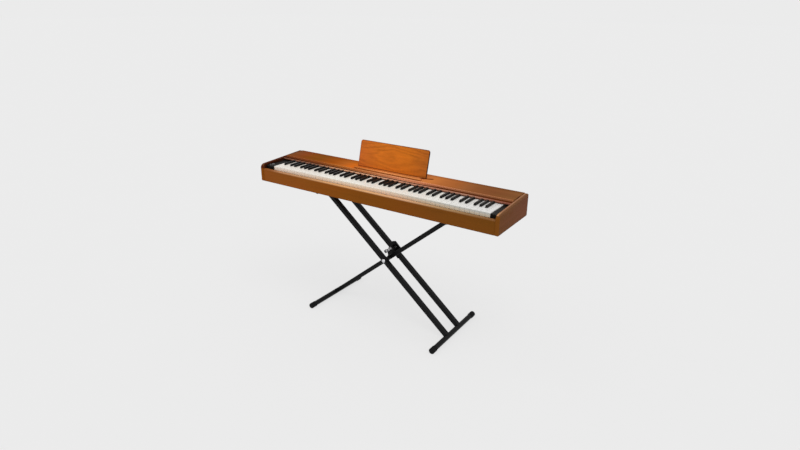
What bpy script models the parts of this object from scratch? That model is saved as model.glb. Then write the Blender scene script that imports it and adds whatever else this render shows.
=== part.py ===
"""Digital piano in a slab-shaped wooden case, standing on a folding X stand.

Metres, +Z up.  The floor is z = 0, the treble end is +X and the player sits at -Y.
The origin is on the floor, under the middle of the case's length and of the stand's feet.

The stand is a scissor: one arm has two parallel tubes, the other has one tube between them.
Each arm carries a foot at one end and a support for the case at the other.
The keys lie on a channel in the case, and each one rocks on the rail at its rear end.
"""
import math

import bmesh
import bpy
from mathutils import Matrix, Vector
from mathutils.geometry import convex_hull_2d

# Fits
TOUCH = 0.0003            # between two pieces that touch
RUN = 0.0003              # all round a shaft that turns or slides in a hole
KEY_GAP = 0.0010          # between a key and its neighbours

# Keyboard
NOTES = 88
FIRST_PITCH = 9           # the lowest note is an A, counted from C = 0
WHITE_PITCH = 0.0235
WHITE_TOP = 0.0835        # above the underside of the case
WHITE_THICK = 0.0195
WHITE_VISIBLE = 0.1275    # from the front of a white key to the control strip
KEY_EDGE = 0.0008
KEY_DIP = 0.0100          # at the front of a white key
BEHIND_KEYS = 0.0210      # from the rear of the black keys to the back panel
RAIL_GAP = 0.0008         # between the white keys and the black keys' rail
BLACK_WIDTH = 0.0105
BLACK_SETBACK = 0.0500    # behind the front of the white keys
BLACK_RISE = 0.0095       # above the white keys
BLACK_NOSE = 0.0065       # length of the sloping front
BLACK_STEP = 0.0015       # from the end of the raised part to the control strip
BLACK_SHANK = 0.0125      # thickness of the hidden part
BLACK_DROP = 0.0015       # from the top of the white keys down to the top of the shank
BLACK_EDGE = 0.0015
HEEL_LENGTH = 0.0137      # where a white key rests on the rear rail
HEEL_DROP = 0.0120        # below the underside of the white keys
HEEL_SINK = 0.0040        # overlap of the heel with the keys that it joins
BLACK_REST = 0.0115       # length over which a black key rests on its rail

# Key sections: the middle octave has a node for each key, the others are moulded combs
SINGLE_NOTES = range(39, 51)
COMB_SECTIONS = ((0, 14), (15, 38), (51, 74), (75, 87))

# Case
CASE_DEPTH = 0.299
CHEEK_THICK = 0.018
CHEEK_FRONT_HEIGHT = 0.0885
CHEEK_BACK_HEIGHT = 0.104
CHEEK_NOSE = 0.009        # radius of its upper front corner
CHEEK_PROUD = 0.003       # ahead of the front panel
CHEEK_EDGE = 0.003
FRONT_THICK = 0.016
FRONT_HEIGHT = 0.0665
PANEL_EDGE = 0.0012
BACK_THICK = 0.016
BOTTOM_THICK = 0.012
LID_THICK = 0.012
LID_TOP = 0.1035          # above the underside of the case
STRIP_DEPTH = 0.0207
STRIP_HEIGHT = 0.0085
STRIP_OVER_KEYS = 0.0025
FELT_THICK = 0.0014
FELT_DEPTH = 0.010
FELT_PROUD = 0.0008
KEY_FRONT_CLEARANCE = 0.0055   # from the front panel to the white keys
BASS_BLOCK = 0.0560       # from the left cheek to the first key
TREBLE_BLOCK = 0.0333     # from the last key to the right cheek
BLOCK_HEIGHT = 0.081
BLOCK_WALL = 0.003
BLOCK_LENGTH = 0.178
BLOCK_PROUD = 0.0010      # ahead of the white keys
BLOCK_EDGE = 0.0012

# Inside the case
FRAME_BASE = 0.0057
FRAME_RAIL = 0.018        # length of the rail under the key fronts
FRAME_RAIL_SETBACK = 0.0065
SPEAKER_RADIUS = 0.045
SPEAKER_HEIGHT = 0.034
SPEAKER_SPREAD = 0.500    # from the middle of the case
SPEAKER_DEPTH = 0.140     # from the front of the case
SOUND_HOLE_RADIUS = 0.035
BOARD_LENGTH = 0.240
BOARD_WIDTH = 0.090
BOARD_THICK = 0.0016
BOARD_SETBACK = 0.110     # behind the front of the case
CHIP_HEIGHT = 0.004
CHIPS = ((-0.070, -0.010, 0.014), (0.0, 0.008, 0.020), (0.075, -0.005, 0.010))  # along, across, half

# Controls and sockets
BUTTON_RADIUS = 0.0050
BUTTON_RISE = 0.0025
BUTTON_TRAVEL = 0.0015
BUTTON_X = 0.0130         # from the left cheek
KNOB_RADIUS = 0.0070
KNOB_HEIGHT = 0.0085
KNOB_SHAFT = 0.0030
KNOB_X = 0.0335
CONTROL_Y = 0.0400        # behind the front of the case
SOCKET_PLATE_LENGTH = 0.110
SOCKET_PLATE_HEIGHT = 0.030
SOCKET_PLATE_THICK = 0.0125
SOCKET_PLATE_X = -0.484
SOCKET_PLATE_Z = 0.045
SOCKET_PLATE_EDGE = 0.0006
SOCKET_DEPTH = 0.010
POWER_SOCKET_RADIUS = 0.0033
PHONES_SOCKET_RADIUS = 0.0032
DATA_SOCKET = (0.0124, 0.0110)
SOCKET_PITCH = 0.024

# Music rest
REST_HALF = 0.2013
REST_SHIFT = -0.0077      # of its middle from the middle of the case
REST_HEIGHT = 0.1330      # along the slope, above the lid
REST_THICK = 0.006
REST_LEAN = math.radians(14.0)
REST_CORNER = 0.012
REST_SETBACK = 0.0575     # behind the front edge of the lid
REST_SLOT = 0.0085        # depth of its slot in the lid
LEDGE_HALF = 0.196
LEDGE_SHIFT = -0.0024
LEDGE_DEPTH = 0.0065
LEDGE_HEIGHT = 0.0085
LEDGE_SETBACK = 0.008     # behind the front edge of the lid
LEDGE_EDGE = 0.001

# Stand
STAND_SHIFT = 0.0226      # the stand's middle is this far towards the treble
CASE_FORWARD = 0.0375     # the case's middle is this far in front of the stand's
ARM_LENGTH = 0.970        # from the foot's axis to the support's
ARM_ANGLE = math.radians(39.75)
LEG_WIDTH = 0.022
LEG_DEPTH = 0.025
LEG_WALL = 0.0015
LEG_CORNER = 0.003
LEG_SPACING = 0.1116      # between the two tubes of the double arm
TUBE_RADIUS = 0.0125
TUBE_WALL = 0.0015
FOOT_HALF = 0.207
FOOT_CAP_RADIUS = 0.0145
FOOT_CAP_LENGTH = 0.034
SUPPORT_HALF = 0.120
SLEEVE_RADIUS = 0.0155
SLEEVE_LENGTH = 0.056
CAP_END = 0.005           # rubber beyond the end of a tube
CAP_ROUND = 0.004

# Pivot and lock
BOLT_RADIUS = 0.004
BOLT_HEAD_RADIUS = 0.0095
BOLT_HEAD_HEIGHT = 0.0055
NUT_RADIUS = 0.0080
NUT_HEIGHT = 0.0070
SPACER_RADIUS = 0.0085
PLATE_THICK = 0.006
PLATE_ROUND = 0.049       # radius of its round end
PLATE_CORNERS = (         # along and above the double arm
    (0.026, -0.009), (0.026, 0.022), (-0.003, 0.0495), (-0.0455, 0.052), (-0.057, 0.037),
)
LOCK_ALONG = 0.016        # from the pivot to the locking pin, along the single arm
LOCK_ABOVE = 0.035        # and square to it
LOCK_STEPS = (-18.0, 0.0, 18.0, 36.0, 54.0, 92.0)
HOUSING_ROUND = 0.007
HOUSING_SPREAD = 0.0255   # from the pivot to its rounded lower corner, down the arm
HOUSING_NOSE = 0.012      # and up the arm
HOUSING_SHOULDER = 0.008  # height of its blunt corner
HOUSING_BEYOND = 0.0025   # from the pin to its rounded upper corners
PIN_RADIUS = 0.003
PIN_PULL = 0.006
PIN_COLLAR_RADIUS = 0.0065
PIN_COLLAR = 0.002
PIN_KNOB_RADIUS = 0.009
PIN_KNOB_LENGTH = 0.006
YOKE_THICK = 0.0035
YOKE_GAP = 0.0393         # from the housing to the inner face of the yoke
YOKE_RADIUS = 0.009
YOKE_WEB = 0.006
SPRING_RADIUS = 0.0055    # to the middle of its wire
SPRING_WIRE = 0.0009      # half the wire's thickness
SPRING_COILS = 9
SPRING_POINTS = 9         # in each coil
SPRING_ROOM = 0.0006      # between each end of the spring and what it presses

ROUND_STEPS = 24

# Places that follow from the sizes above
FLOOR_TO_FOOT = FOOT_CAP_RADIUS
ARM_RISE = ARM_LENGTH / 2 * math.sin(ARM_ANGLE)
ARM_REACH = ARM_LENGTH / 2 * math.cos(ARM_ANGLE)
PIVOT = Vector((STAND_SHIFT, 0.0, FLOOR_TO_FOOT + ARM_RISE))
RIGHT_FOOT = PIVOT + Vector((ARM_REACH, 0.0, -ARM_RISE))
LEFT_FOOT = PIVOT + Vector((-ARM_REACH, 0.0, -ARM_RISE))
RIGHT_SUPPORT = PIVOT + Vector((ARM_REACH, 0.0, ARM_RISE))
LEFT_SUPPORT = PIVOT + Vector((-ARM_REACH, 0.0, ARM_RISE))
SINGLE_FRONT = -LEG_DEPTH / 2
SINGLE_BACK = LEG_DEPTH / 2
FRONT_LEG_Y = -LEG_SPACING / 2
REAR_LEG_Y = LEG_SPACING / 2
PLATE_BACK = REAR_LEG_Y - LEG_DEPTH / 2 - TOUCH
PLATE_FRONT = PLATE_BACK - PLATE_THICK
HOUSING_FRONT = SINGLE_BACK + TOUCH
HOUSING_BACK = PLATE_FRONT - TOUCH
YOKE_BACK = HOUSING_FRONT - YOKE_GAP
YOKE_FRONT = YOKE_BACK - YOKE_THICK

WHITES = sum((note + FIRST_PITCH) % 12 in (0, 2, 4, 5, 7, 9, 11) for note in range(NOTES))
KEYS_LENGTH = WHITES * WHITE_PITCH
CASE_LENGTH = KEYS_LENGTH + BASS_BLOCK + TREBLE_BLOCK + 2 * CHEEK_THICK
CASE_HALF = CASE_LENGTH / 2
INNER_HALF = CASE_HALF - CHEEK_THICK
KEYS_LEFT = -INNER_HALF + BASS_BLOCK
KEYS_RIGHT = KEYS_LEFT + KEYS_LENGTH
CASE_FRONT = -CASE_DEPTH / 2 - CASE_FORWARD
CASE_BACK = CASE_FRONT + CASE_DEPTH
CASE_FLOOR = RIGHT_SUPPORT.z + SLEEVE_RADIUS + TOUCH
INSIDE_FLOOR = CASE_FLOOR + BOTTOM_THICK + TOUCH
KEY_FRONT = CASE_FRONT + FRONT_THICK + KEY_FRONT_CLEARANCE
KEY_TOP = CASE_FLOOR + WHITE_TOP
KEY_BOTTOM = KEY_TOP - WHITE_THICK
BLACK_BACK = CASE_BACK - BACK_THICK - BEHIND_KEYS
BLACK_RAIL_FRONT = BLACK_BACK - BLACK_REST
KEY_BACK = BLACK_RAIL_FRONT - RAIL_GAP
HEEL_FRONT = KEY_BACK - HEEL_LENGTH
HEEL_BOTTOM = KEY_BOTTOM - HEEL_DROP
WHITE_PIVOT = Vector((0.0, HEEL_FRONT + 0.0020, HEEL_BOTTOM))
STRIP_FRONT = KEY_FRONT + WHITE_VISIBLE
STRIP_BOTTOM = KEY_TOP + STRIP_OVER_KEYS
BLACK_FRONT = KEY_FRONT + BLACK_SETBACK
BLACK_BOTTOM = KEY_TOP - BLACK_DROP - BLACK_SHANK
BLACK_PIVOT = Vector((0.0, BLACK_RAIL_FRONT + 0.0010, BLACK_BOTTOM))
FRAME_FLOOR = INSIDE_FLOOR + FRAME_BASE
LID_FRONT = STRIP_FRONT + STRIP_DEPTH + TOUCH
LID_BOTTOM = CASE_FLOOR + LID_TOP - LID_THICK
LID_UPPER = CASE_FLOOR + LID_TOP
BLOCK_FRONT = KEY_FRONT - BLOCK_PROUD
BLOCK_TOP = CASE_FLOOR + BLOCK_HEIGHT
REST_FOOT = Vector((REST_SHIFT, LID_FRONT + REST_SETBACK, LID_UPPER))
REST_UP = Vector((0.0, math.sin(REST_LEAN), math.cos(REST_LEAN)))
SINGLE_UP = Vector((-math.sin(ARM_ANGLE), 0.0, math.cos(ARM_ANGLE)))
SINGLE_ALONG = Vector((math.cos(ARM_ANGLE), 0.0, math.sin(ARM_ANGLE)))
DOUBLE_UP = Vector((math.sin(ARM_ANGLE), 0.0, math.cos(ARM_ANGLE)))
DOUBLE_ALONG = Vector((math.cos(ARM_ANGLE), 0.0, -math.sin(ARM_ANGLE)))
LOCK_PIN = PIVOT + SINGLE_ALONG * LOCK_ALONG + SINGLE_UP * LOCK_ABOVE
LOCK_RADIUS = math.hypot(LOCK_ALONG, LOCK_ABOVE)
LOCK_BEARING = math.degrees(math.atan2(LOCK_PIN.z - PIVOT.z, LOCK_PIN.x - PIVOT.x))

# Finishes: colour, roughness, metallic
WOOD_DARK = ((0.31, 0.11, 0.03), 0.40, 0.0)
WOOD_LIGHT = ((0.50, 0.14, 0.025), 0.38, 0.0)
WOOD_SIDE = ((0.14, 0.055, 0.028), 0.45, 0.0)
IVORY = ((0.83, 0.80, 0.74), 0.25, 0.0)
EBONY = ((0.010, 0.009, 0.008), 0.35, 0.0)
BLACK_PLASTIC = ((0.016, 0.015, 0.014), 0.45, 0.0)
BLACK_PAINT = ((0.011, 0.011, 0.012), 0.42, 0.3)
RUBBER = ((0.018, 0.018, 0.019), 0.75, 0.0)
STEEL = ((0.55, 0.55, 0.57), 0.28, 1.0)
FELT = ((0.10, 0.012, 0.012), 0.95, 0.0)
BOARD_GREEN = ((0.02, 0.10, 0.045), 0.5, 0.0)
GREY_PLASTIC = ((0.22, 0.22, 0.22), 0.4, 0.0)


def clear_scene():
    for item in list(bpy.data.objects):
        bpy.data.objects.remove(item, do_unlink=True)


def new_collection(name):
    collection = bpy.data.collections.new(name)
    bpy.context.scene.collection.children.link(collection)
    return collection


clear_scene()
PARTS = new_collection("digital_piano")
CUTTERS = new_collection("cutters")
CARRIERS = {}


def material(name, finish):
    colour, roughness, metallic = finish
    made = bpy.data.materials.new(name)
    made.use_nodes = True
    shader = made.node_tree.nodes["Principled BSDF"]
    shader.inputs["Base Color"].default_value = (*colour, 1.0)
    shader.inputs["Roughness"].default_value = roughness
    shader.inputs["Metallic"].default_value = metallic
    made.diffuse_color = (*colour, 1.0)
    return made


def carrier(name, place, parent=None):
    """An empty on a joint's axis, which carries the pieces of one moving body."""
    empty = bpy.data.objects.new(name, None)
    PARTS.objects.link(empty)
    empty.empty_display_size = 0.03
    empty.location = place
    if parent:
        empty.parent = CARRIERS[parent][0]
        empty.location = place - CARRIERS[parent][1]
    CARRIERS[name] = (empty, place)


def add_part(name, mesh, body, finish, smooth=False):
    """Put a mesh that is already in world places into the scene as one piece of a body."""
    piece = bpy.data.objects.new(name, mesh)
    PARTS.objects.link(piece)
    mesh.materials.clear()
    mesh.materials.append(material(name, finish))
    empty, place = CARRIERS[body]
    mesh.transform(Matrix.Translation(-place))
    piece.parent = empty
    if smooth:
        mesh.shade_smooth()
        mesh.set_sharp_from_angle(angle=math.radians(35))
    return piece


def add_cutter(name, mesh):
    cutter = bpy.data.objects.new(name, mesh)
    CUTTERS.objects.link(cutter)
    cutter.hide_render = True
    cutter.display_type = "WIRE"
    return cutter


def boolean(piece, operation, cutter):
    modifier = piece.modifiers.new(operation.lower() + "_" + cutter.name, "BOOLEAN")
    modifier.operation = operation
    modifier.solver = "EXACT"
    modifier.object = cutter
    return modifier


def bevel(piece, width, segments=1):
    modifier = piece.modifiers.new("edge", "BEVEL")
    modifier.width = width
    modifier.segments = segments
    modifier.limit_method = "ANGLE"
    modifier.angle_limit = math.radians(40)
    return modifier


def mesh_from(bm, name):
    mesh = bpy.data.meshes.new(name)
    bm.to_mesh(mesh)
    bm.free()
    return mesh


def box_mesh(name, low, high):
    """A box between two corners."""
    low, high = Vector(low), Vector(high)
    bm = bmesh.new()
    place = Matrix.Translation((low + high) / 2)
    bmesh.ops.create_cube(bm, size=1.0, matrix=place @ Matrix.Diagonal((*(high - low), 1.0)))
    return mesh_from(bm, name)


def rod_mesh(name, start, end, radius, steps=ROUND_STEPS):
    """A solid round bar from start to end."""
    start, end = Vector(start), Vector(end)
    along = end - start
    turn = along.to_track_quat("Z", "X").to_matrix().to_4x4()
    bm = bmesh.new()
    bmesh.ops.create_cone(
        bm, cap_ends=True, segments=steps, radius1=radius, radius2=radius, depth=along.length,
        matrix=Matrix.Translation((start + end) / 2) @ turn,
    )
    return mesh_from(bm, name)


def flat_mesh(name, loops, thickness, matrix):
    """A plate: closed outlines in its own XY plane, filled, and extruded about that plane."""
    curve = bpy.data.curves.new(name + "_outline", "CURVE")
    curve.dimensions = "2D"
    curve.fill_mode = "BOTH"
    curve.extrude = thickness / 2
    for loop in loops:
        spline = curve.splines.new("POLY")
        spline.points.add(len(loop) - 1)
        for point, (across, up) in zip(spline.points, loop):
            point.co = (across, up, 0.0, 1.0)
        spline.use_cyclic_u = True
    guide = bpy.data.objects.new(name + "_outline", curve)
    CUTTERS.objects.link(guide)
    bpy.context.view_layer.update()
    mesh = bpy.data.meshes.new_from_object(guide.evaluated_get(bpy.context.evaluated_depsgraph_get()))
    bpy.data.objects.remove(guide, do_unlink=True)
    bpy.data.curves.remove(curve)
    bm = bmesh.new()
    bm.from_mesh(mesh)
    bmesh.ops.remove_doubles(bm, verts=bm.verts, dist=0.00001)
    bmesh.ops.recalc_face_normals(bm, faces=bm.faces)
    bm.to_mesh(mesh)
    bm.free()
    mesh.transform(matrix)
    return mesh


def plan(height):
    """Outlines drawn in X and Y, at a height."""
    return Matrix.Translation((0.0, 0.0, height))


def side(middle_x):
    """Outlines drawn in Y and Z, extruded along X."""
    return Matrix(((0, 0, 1, middle_x), (1, 0, 0, 0), (0, 1, 0, 0), (0, 0, 0, 1)))


def front(middle_y):
    """Outlines drawn in X and Z, extruded along Y."""
    return Matrix(((1, 0, 0, 0), (0, 0, -1, middle_y), (0, 1, 0, 0), (0, 0, 0, 1)))


def arc(centre, radius, start, end, steps):
    """Points of an arc, in degrees, both ends included."""
    x, y = centre
    span = [math.radians(start + (end - start) * step / steps) for step in range(steps + 1)]
    return [(x + radius * math.cos(turn), y + radius * math.sin(turn)) for turn in span]


def hull_of_circles(circles, steps=16):
    """The outline of a band stretched round some circles, given as x, y and radius."""
    points = []
    for x, y, radius in circles:
        points += arc((x, y), radius, 0.0, 360.0 - 360.0 / steps, steps - 1)
    return [points[index] for index in convex_hull_2d([Vector(point) for point in points])]


def turned(name, profile, place, outward, body, finish, steps=ROUND_STEPS):
    """A profile of radius and height turned about its height axis, which points outward."""
    mesh = bpy.data.meshes.new(name)
    points = [(radius, 0.0, height) for radius, height in profile]
    mesh.from_pydata(points, [(index, index + 1) for index in range(len(points) - 1)], [])
    turn = Vector(outward).to_track_quat("Z", "X").to_matrix().to_4x4()
    piece = bpy.data.objects.new(name, mesh)
    PARTS.objects.link(piece)
    mesh.materials.append(material(name, finish))
    empty, origin = CARRIERS[body]
    piece.parent = empty
    piece.matrix_local = Matrix.Translation(Vector(place) - origin) @ turn
    screw = piece.modifiers.new("turned", "SCREW")
    screw.axis = "Z"
    screw.steps = steps
    screw.render_steps = steps
    screw.use_merge_vertices = True
    screw.merge_threshold = 0.00002
    screw.use_smooth_shade = True
    return piece


def panel(name, low, high, body, finish, edge=PANEL_EDGE):
    """A board with eased edges."""
    piece = add_part(name, box_mesh(name, low, high), body, finish)
    bevel(piece, edge)
    return piece


def build_carriers():
    rest_bottom = REST_FOOT - REST_UP * REST_SLOT
    carrier("base", RIGHT_FOOT)
    carrier("double_arm", RIGHT_FOOT, "base")
    carrier("single_arm", PIVOT, "double_arm")
    carrier("lock", LOCK_PIN, "single_arm")
    carrier("sleeves", RIGHT_SUPPORT, "single_arm")
    carrier("piano", Vector((0.0, CASE_FRONT, CASE_FLOOR)), "sleeves")
    carrier("rest", rest_bottom, "piano")
    carrier("button", Vector((-INNER_HALF + BUTTON_X, CASE_FRONT + CONTROL_Y, BLOCK_TOP)), "piano")
    carrier("knob", Vector((-INNER_HALF + KNOB_X, CASE_FRONT + CONTROL_Y, BLOCK_TOP)), "piano")
    carrier("white_keys", WHITE_PIVOT, "piano")
    carrier("black_keys", BLACK_PIVOT, "piano")


def leg_tube(name, y, rising, body):
    """A rectangular tube from one round cross tube to the other, saddled on both, bored at the pivot."""
    bm = bmesh.new()
    size = (ARM_LENGTH, LEG_DEPTH, LEG_WIDTH, 1.0)
    bmesh.ops.create_cube(bm, size=1.0, matrix=Matrix.Diagonal(size))
    ends = [face for face in bm.faces if abs(face.normal.x) > 0.9]
    bmesh.ops.delete(bm, geom=ends, context="FACES_ONLY")
    long_edges = [edge for edge in bm.edges if abs(edge.verts[0].co.x - edge.verts[1].co.x) > LEG_WIDTH]
    bmesh.ops.bevel(bm, geom=long_edges, offset=LEG_CORNER, segments=2, profile=0.5, affect="EDGES")
    slope = -ARM_ANGLE if rising else ARM_ANGLE
    place = Matrix.Translation((PIVOT.x, y, PIVOT.z)) @ Matrix.Rotation(slope, 4, "Y")
    mesh = mesh_from(bm, name)
    mesh.transform(place)
    piece = add_part(name, mesh, body, BLACK_PAINT)
    wall = piece.modifiers.new("wall", "SOLIDIFY")
    wall.thickness = LEG_WALL
    wall.offset = -1.0
    wall.use_even_offset = True
    reach = Vector((0.0, LEG_DEPTH, 0.0))
    ends = (LEFT_FOOT, RIGHT_SUPPORT) if rising else (RIGHT_FOOT, LEFT_SUPPORT)
    for end in ends:
        middle = Vector((end.x, y, end.z))
        saddle = rod_mesh("saddle", middle - reach, middle + reach, TUBE_RADIUS + TOUCH)
        boolean(piece, "DIFFERENCE", add_cutter(name + "_saddle", saddle))
    middle = Vector((PIVOT.x, y, PIVOT.z))
    bore = rod_mesh("bore", middle - reach, middle + reach, BOLT_RADIUS + RUN, 16)
    boolean(piece, "DIFFERENCE", add_cutter(name + "_bore", bore))
    return piece


def cross_tube(name, middle, half_length, body):
    """A round tube along Y, open at both ends."""
    bm = bmesh.new()
    bmesh.ops.create_cone(
        bm, cap_ends=False, segments=ROUND_STEPS, radius1=TUBE_RADIUS, radius2=TUBE_RADIUS,
        depth=2 * half_length, matrix=Matrix.Rotation(math.pi / 2, 4, "X"),
    )
    bmesh.ops.recalc_face_normals(bm, faces=bm.faces)
    mesh = mesh_from(bm, name)
    mesh.transform(Matrix.Translation(middle))
    piece = add_part(name, mesh, body, BLACK_PAINT)
    wall = piece.modifiers.new("wall", "SOLIDIFY")
    wall.thickness = TUBE_WALL
    wall.offset = -1.0
    return piece


def end_cup(name, tube_end, outward, radius, length, body):
    """A rubber cup over the end of a round tube, with a rounded closed end."""
    bore = TUBE_RADIUS + RUN
    tip = CAP_END
    rim = tip - length
    side_top = tip - CAP_ROUND
    rounded = [
        (radius - CAP_ROUND + CAP_ROUND * math.sin(math.radians(turn)),
         side_top + CAP_ROUND * math.cos(math.radians(turn)))
        for turn in (0, 30, 60, 90)
    ]
    profile = [(0.0, tip)] + rounded + [(radius, rim), (bore, rim), (bore, TOUCH), (0.0, TOUCH)]
    return turned(name, profile, tube_end, outward, body, RUBBER)


def build_cross_tubes():
    cross_tube("right_foot_tube", RIGHT_FOOT, FOOT_HALF, "double_arm")
    cross_tube("left_support_tube", LEFT_SUPPORT, SUPPORT_HALF, "double_arm")
    cross_tube("left_foot_tube", LEFT_FOOT, FOOT_HALF, "single_arm")
    cross_tube("right_support_tube", RIGHT_SUPPORT, SUPPORT_HALF, "single_arm")
    for end, sign in (("front", -1.0), ("rear", 1.0)):
        outward = Vector((0.0, sign, 0.0))
        feet = (("right_foot_cap_", RIGHT_FOOT, "base"), ("left_foot_cap_", LEFT_FOOT, "single_arm"))
        for name, axis, body in feet:
            end_cup(name + end, axis + outward * FOOT_HALF, outward, FOOT_CAP_RADIUS, FOOT_CAP_LENGTH, body)
        tops = (("right_sleeve_", RIGHT_SUPPORT, "sleeves"), ("left_sleeve_", LEFT_SUPPORT, "double_arm"))
        for name, axis, body in tops:
            end_cup(name + end, axis + outward * SUPPORT_HALF, outward, SLEEVE_RADIUS, SLEEVE_LENGTH, body)


def build_pivot():
    """The bolt goes through the three tubes, the spacer, the housing and the locking plate."""
    head_face = FRONT_LEG_Y - LEG_DEPTH / 2 - TOUCH
    nut_face = REAR_LEG_Y + LEG_DEPTH / 2 + TOUCH
    grip = nut_face - head_face
    dome = [
        (BOLT_HEAD_RADIUS * math.sin(math.radians(turn)), BOLT_HEAD_HEIGHT * math.cos(math.radians(turn)))
        for turn in (0, 35, 65, 90)
    ]
    profile = dome + [
        (BOLT_RADIUS, 0.0),
        (BOLT_RADIUS, -grip),
        (NUT_RADIUS, -grip),
        (NUT_RADIUS, -grip - NUT_HEIGHT),
        (0.0, -grip - NUT_HEIGHT),
    ]
    turned("pivot_bolt", profile, (PIVOT.x, head_face, PIVOT.z), (0, -1, 0), "double_arm", STEEL, 16)
    rear = FRONT_LEG_Y + LEG_DEPTH / 2 + TOUCH
    length = SINGLE_FRONT - TOUCH - rear
    bore = BOLT_RADIUS + RUN
    ring = [(bore, length), (SPACER_RADIUS, length), (SPACER_RADIUS, 0.0), (bore, 0.0), (bore, length)]
    turned("pivot_spacer", ring, (PIVOT.x, rear, PIVOT.z), (0, 1, 0), "double_arm", BLACK_PAINT, 16)


def slot_outline(centre, first, last):
    """The curved slot that the pin's tip runs in, with a notch for each height of the stand."""
    half = PIN_RADIUS + 2 * RUN
    inner = arc(centre, LOCK_RADIUS - half, last, first, 16)
    outer = []
    notch = PIN_RADIUS
    reach = LOCK_RADIUS + half
    width = math.degrees(notch / reach)
    at = first
    for step in LOCK_STEPS:
        stop = LOCK_BEARING + step
        run = max(1, round((stop - width - at) / 9.0))
        outer += arc(centre, reach, at, stop - width, run)
        for turn in (150, 90, 30):
            bearing = math.radians(turn)
            along = reach + notch * 0.8 * math.sin(bearing)
            spot = math.radians(stop + width * math.cos(bearing))
            outer.append((centre[0] + along * math.cos(spot), centre[1] + along * math.sin(spot)))
        at = stop + width
    outer += arc(centre, reach, at, last, 1)
    return outer + inner


def build_lock():
    """A plate with a slot on the rear tube, and a housing with a sprung pin on the single tube."""
    centre = (PIVOT.x, PIVOT.z)
    spare = 5.0
    slot_from = LOCK_BEARING + LOCK_STEPS[0] - spare
    slot_to = LOCK_BEARING + LOCK_STEPS[-1] + spare
    corners = [PIVOT + DOUBLE_ALONG * along + DOUBLE_UP * above for along, above in PLATE_CORNERS]
    rim = [(corner.x, corner.z) for corner in corners]
    rim += arc(centre, PLATE_ROUND, 180.0 - math.degrees(ARM_ANGLE), slot_to + spare, 10)
    rim += arc(centre, BOLT_RADIUS * 3, slot_to + 8 * spare, 360.0 - math.degrees(ARM_ANGLE) - 40.0, 4)
    bore = arc(centre, BOLT_RADIUS + RUN, 0.0, 337.5, 15)
    loops = [rim, bore, slot_outline(centre, slot_from, slot_to)]
    plate = flat_mesh("lock_plate", loops, PLATE_THICK, front((PLATE_FRONT + PLATE_BACK) / 2))
    add_part("lock_plate", plate, "double_arm", BLACK_PAINT)

    def spot(along, up, radius):
        place = PIVOT + SINGLE_ALONG * along + SINGLE_UP * up
        return (place.x, place.z, radius)

    low = HOUSING_ROUND - LEG_WIDTH / 2
    top = LOCK_ABOVE + HOUSING_BEYOND
    circles = [
        spot(-HOUSING_SPREAD, low, HOUSING_ROUND),
        spot(HOUSING_NOSE, low, HOUSING_ROUND),
        spot(LOCK_ALONG + HOUSING_BEYOND, top, HOUSING_ROUND),
        spot(LOCK_ALONG - HOUSING_BEYOND, top, HOUSING_ROUND),
        spot(-HOUSING_SPREAD, HOUSING_SHOULDER, HOUSING_ROUND),
    ]
    depth = HOUSING_BACK - HOUSING_FRONT
    middle = (HOUSING_FRONT + HOUSING_BACK) / 2
    body = flat_mesh("lock_housing", [hull_of_circles(circles)], depth, front(middle))
    housing = add_part("lock_housing", body, "single_arm", BLACK_PLASTIC)
    bevel(housing, 0.002)
    half = YOKE_RADIUS * 0.7
    web_near = LOCK_ALONG - YOKE_RADIUS
    web_far = web_near - YOKE_WEB
    web_low = LOCK_ABOVE - half
    web_high = LOCK_ABOVE + half
    corners = ((web_far, web_low), (web_near, web_low), (web_near, web_high), (web_far, web_high))
    web = [spot(along, up, 0.0)[:2] for along, up in corners]
    web_depth = HOUSING_FRONT + 0.002 - YOKE_FRONT
    web_mesh = flat_mesh("yoke_web", [web], web_depth, front(YOKE_FRONT + web_depth / 2))
    boolean(housing, "UNION", add_cutter("yoke_web", web_mesh))
    ear_far = LOCK_ALONG - YOKE_WEB + 0.0006
    ear = hull_of_circles([
        spot(LOCK_ALONG, LOCK_ABOVE, YOKE_RADIUS), spot(ear_far, LOCK_ABOVE, YOKE_RADIUS),
    ])
    ear_mesh = flat_mesh("yoke_ear", [ear], YOKE_THICK + 0.0004, front(YOKE_FRONT + YOKE_THICK / 2))
    boolean(housing, "UNION", add_cutter("yoke_ear", ear_mesh))
    far = Vector((0.0, 0.1, 0.0))
    pin_bore = rod_mesh("pin_bore", LOCK_PIN - far, LOCK_PIN + far, PIN_RADIUS + RUN, 16)
    boolean(housing, "DIFFERENCE", add_cutter("pin_bore", pin_bore))
    bolt_bore = rod_mesh("housing_bore", PIVOT - far, PIVOT + far, BOLT_RADIUS + RUN, 16)
    boolean(housing, "DIFFERENCE", add_cutter("housing_bore", bolt_bore))
    build_pin()


def build_pin():
    """The pin, with its knob in front, and the collar that the spring pushes towards the plate."""
    tip = PLATE_BACK - 0.0005
    collar_back = HOUSING_FRONT - 0.0008
    collar_front = collar_back - PIN_COLLAR
    knob_back = YOKE_FRONT - 0.0005
    knob_front = knob_back - PIN_KNOB_LENGTH
    knob_edge = 0.0015
    stations = [
        (0.0, knob_front),
        (PIN_KNOB_RADIUS - knob_edge, knob_front),
        (PIN_KNOB_RADIUS, knob_front + knob_edge),
        (PIN_KNOB_RADIUS, knob_back),
        (PIN_RADIUS, knob_back),
        (PIN_RADIUS, collar_front),
        (PIN_COLLAR_RADIUS, collar_front),
        (PIN_COLLAR_RADIUS, collar_back),
        (PIN_RADIUS, collar_back),
        (PIN_RADIUS, tip),
        (0.0, tip),
    ]
    profile = [(radius, -y) for radius, y in stations]
    turned("lock_pin", profile, (LOCK_PIN.x, 0.0, LOCK_PIN.z), (0, -1, 0), "lock", STEEL, 16)
    build_spring(YOKE_BACK + SPRING_ROOM, collar_front - SPRING_ROOM)


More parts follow.
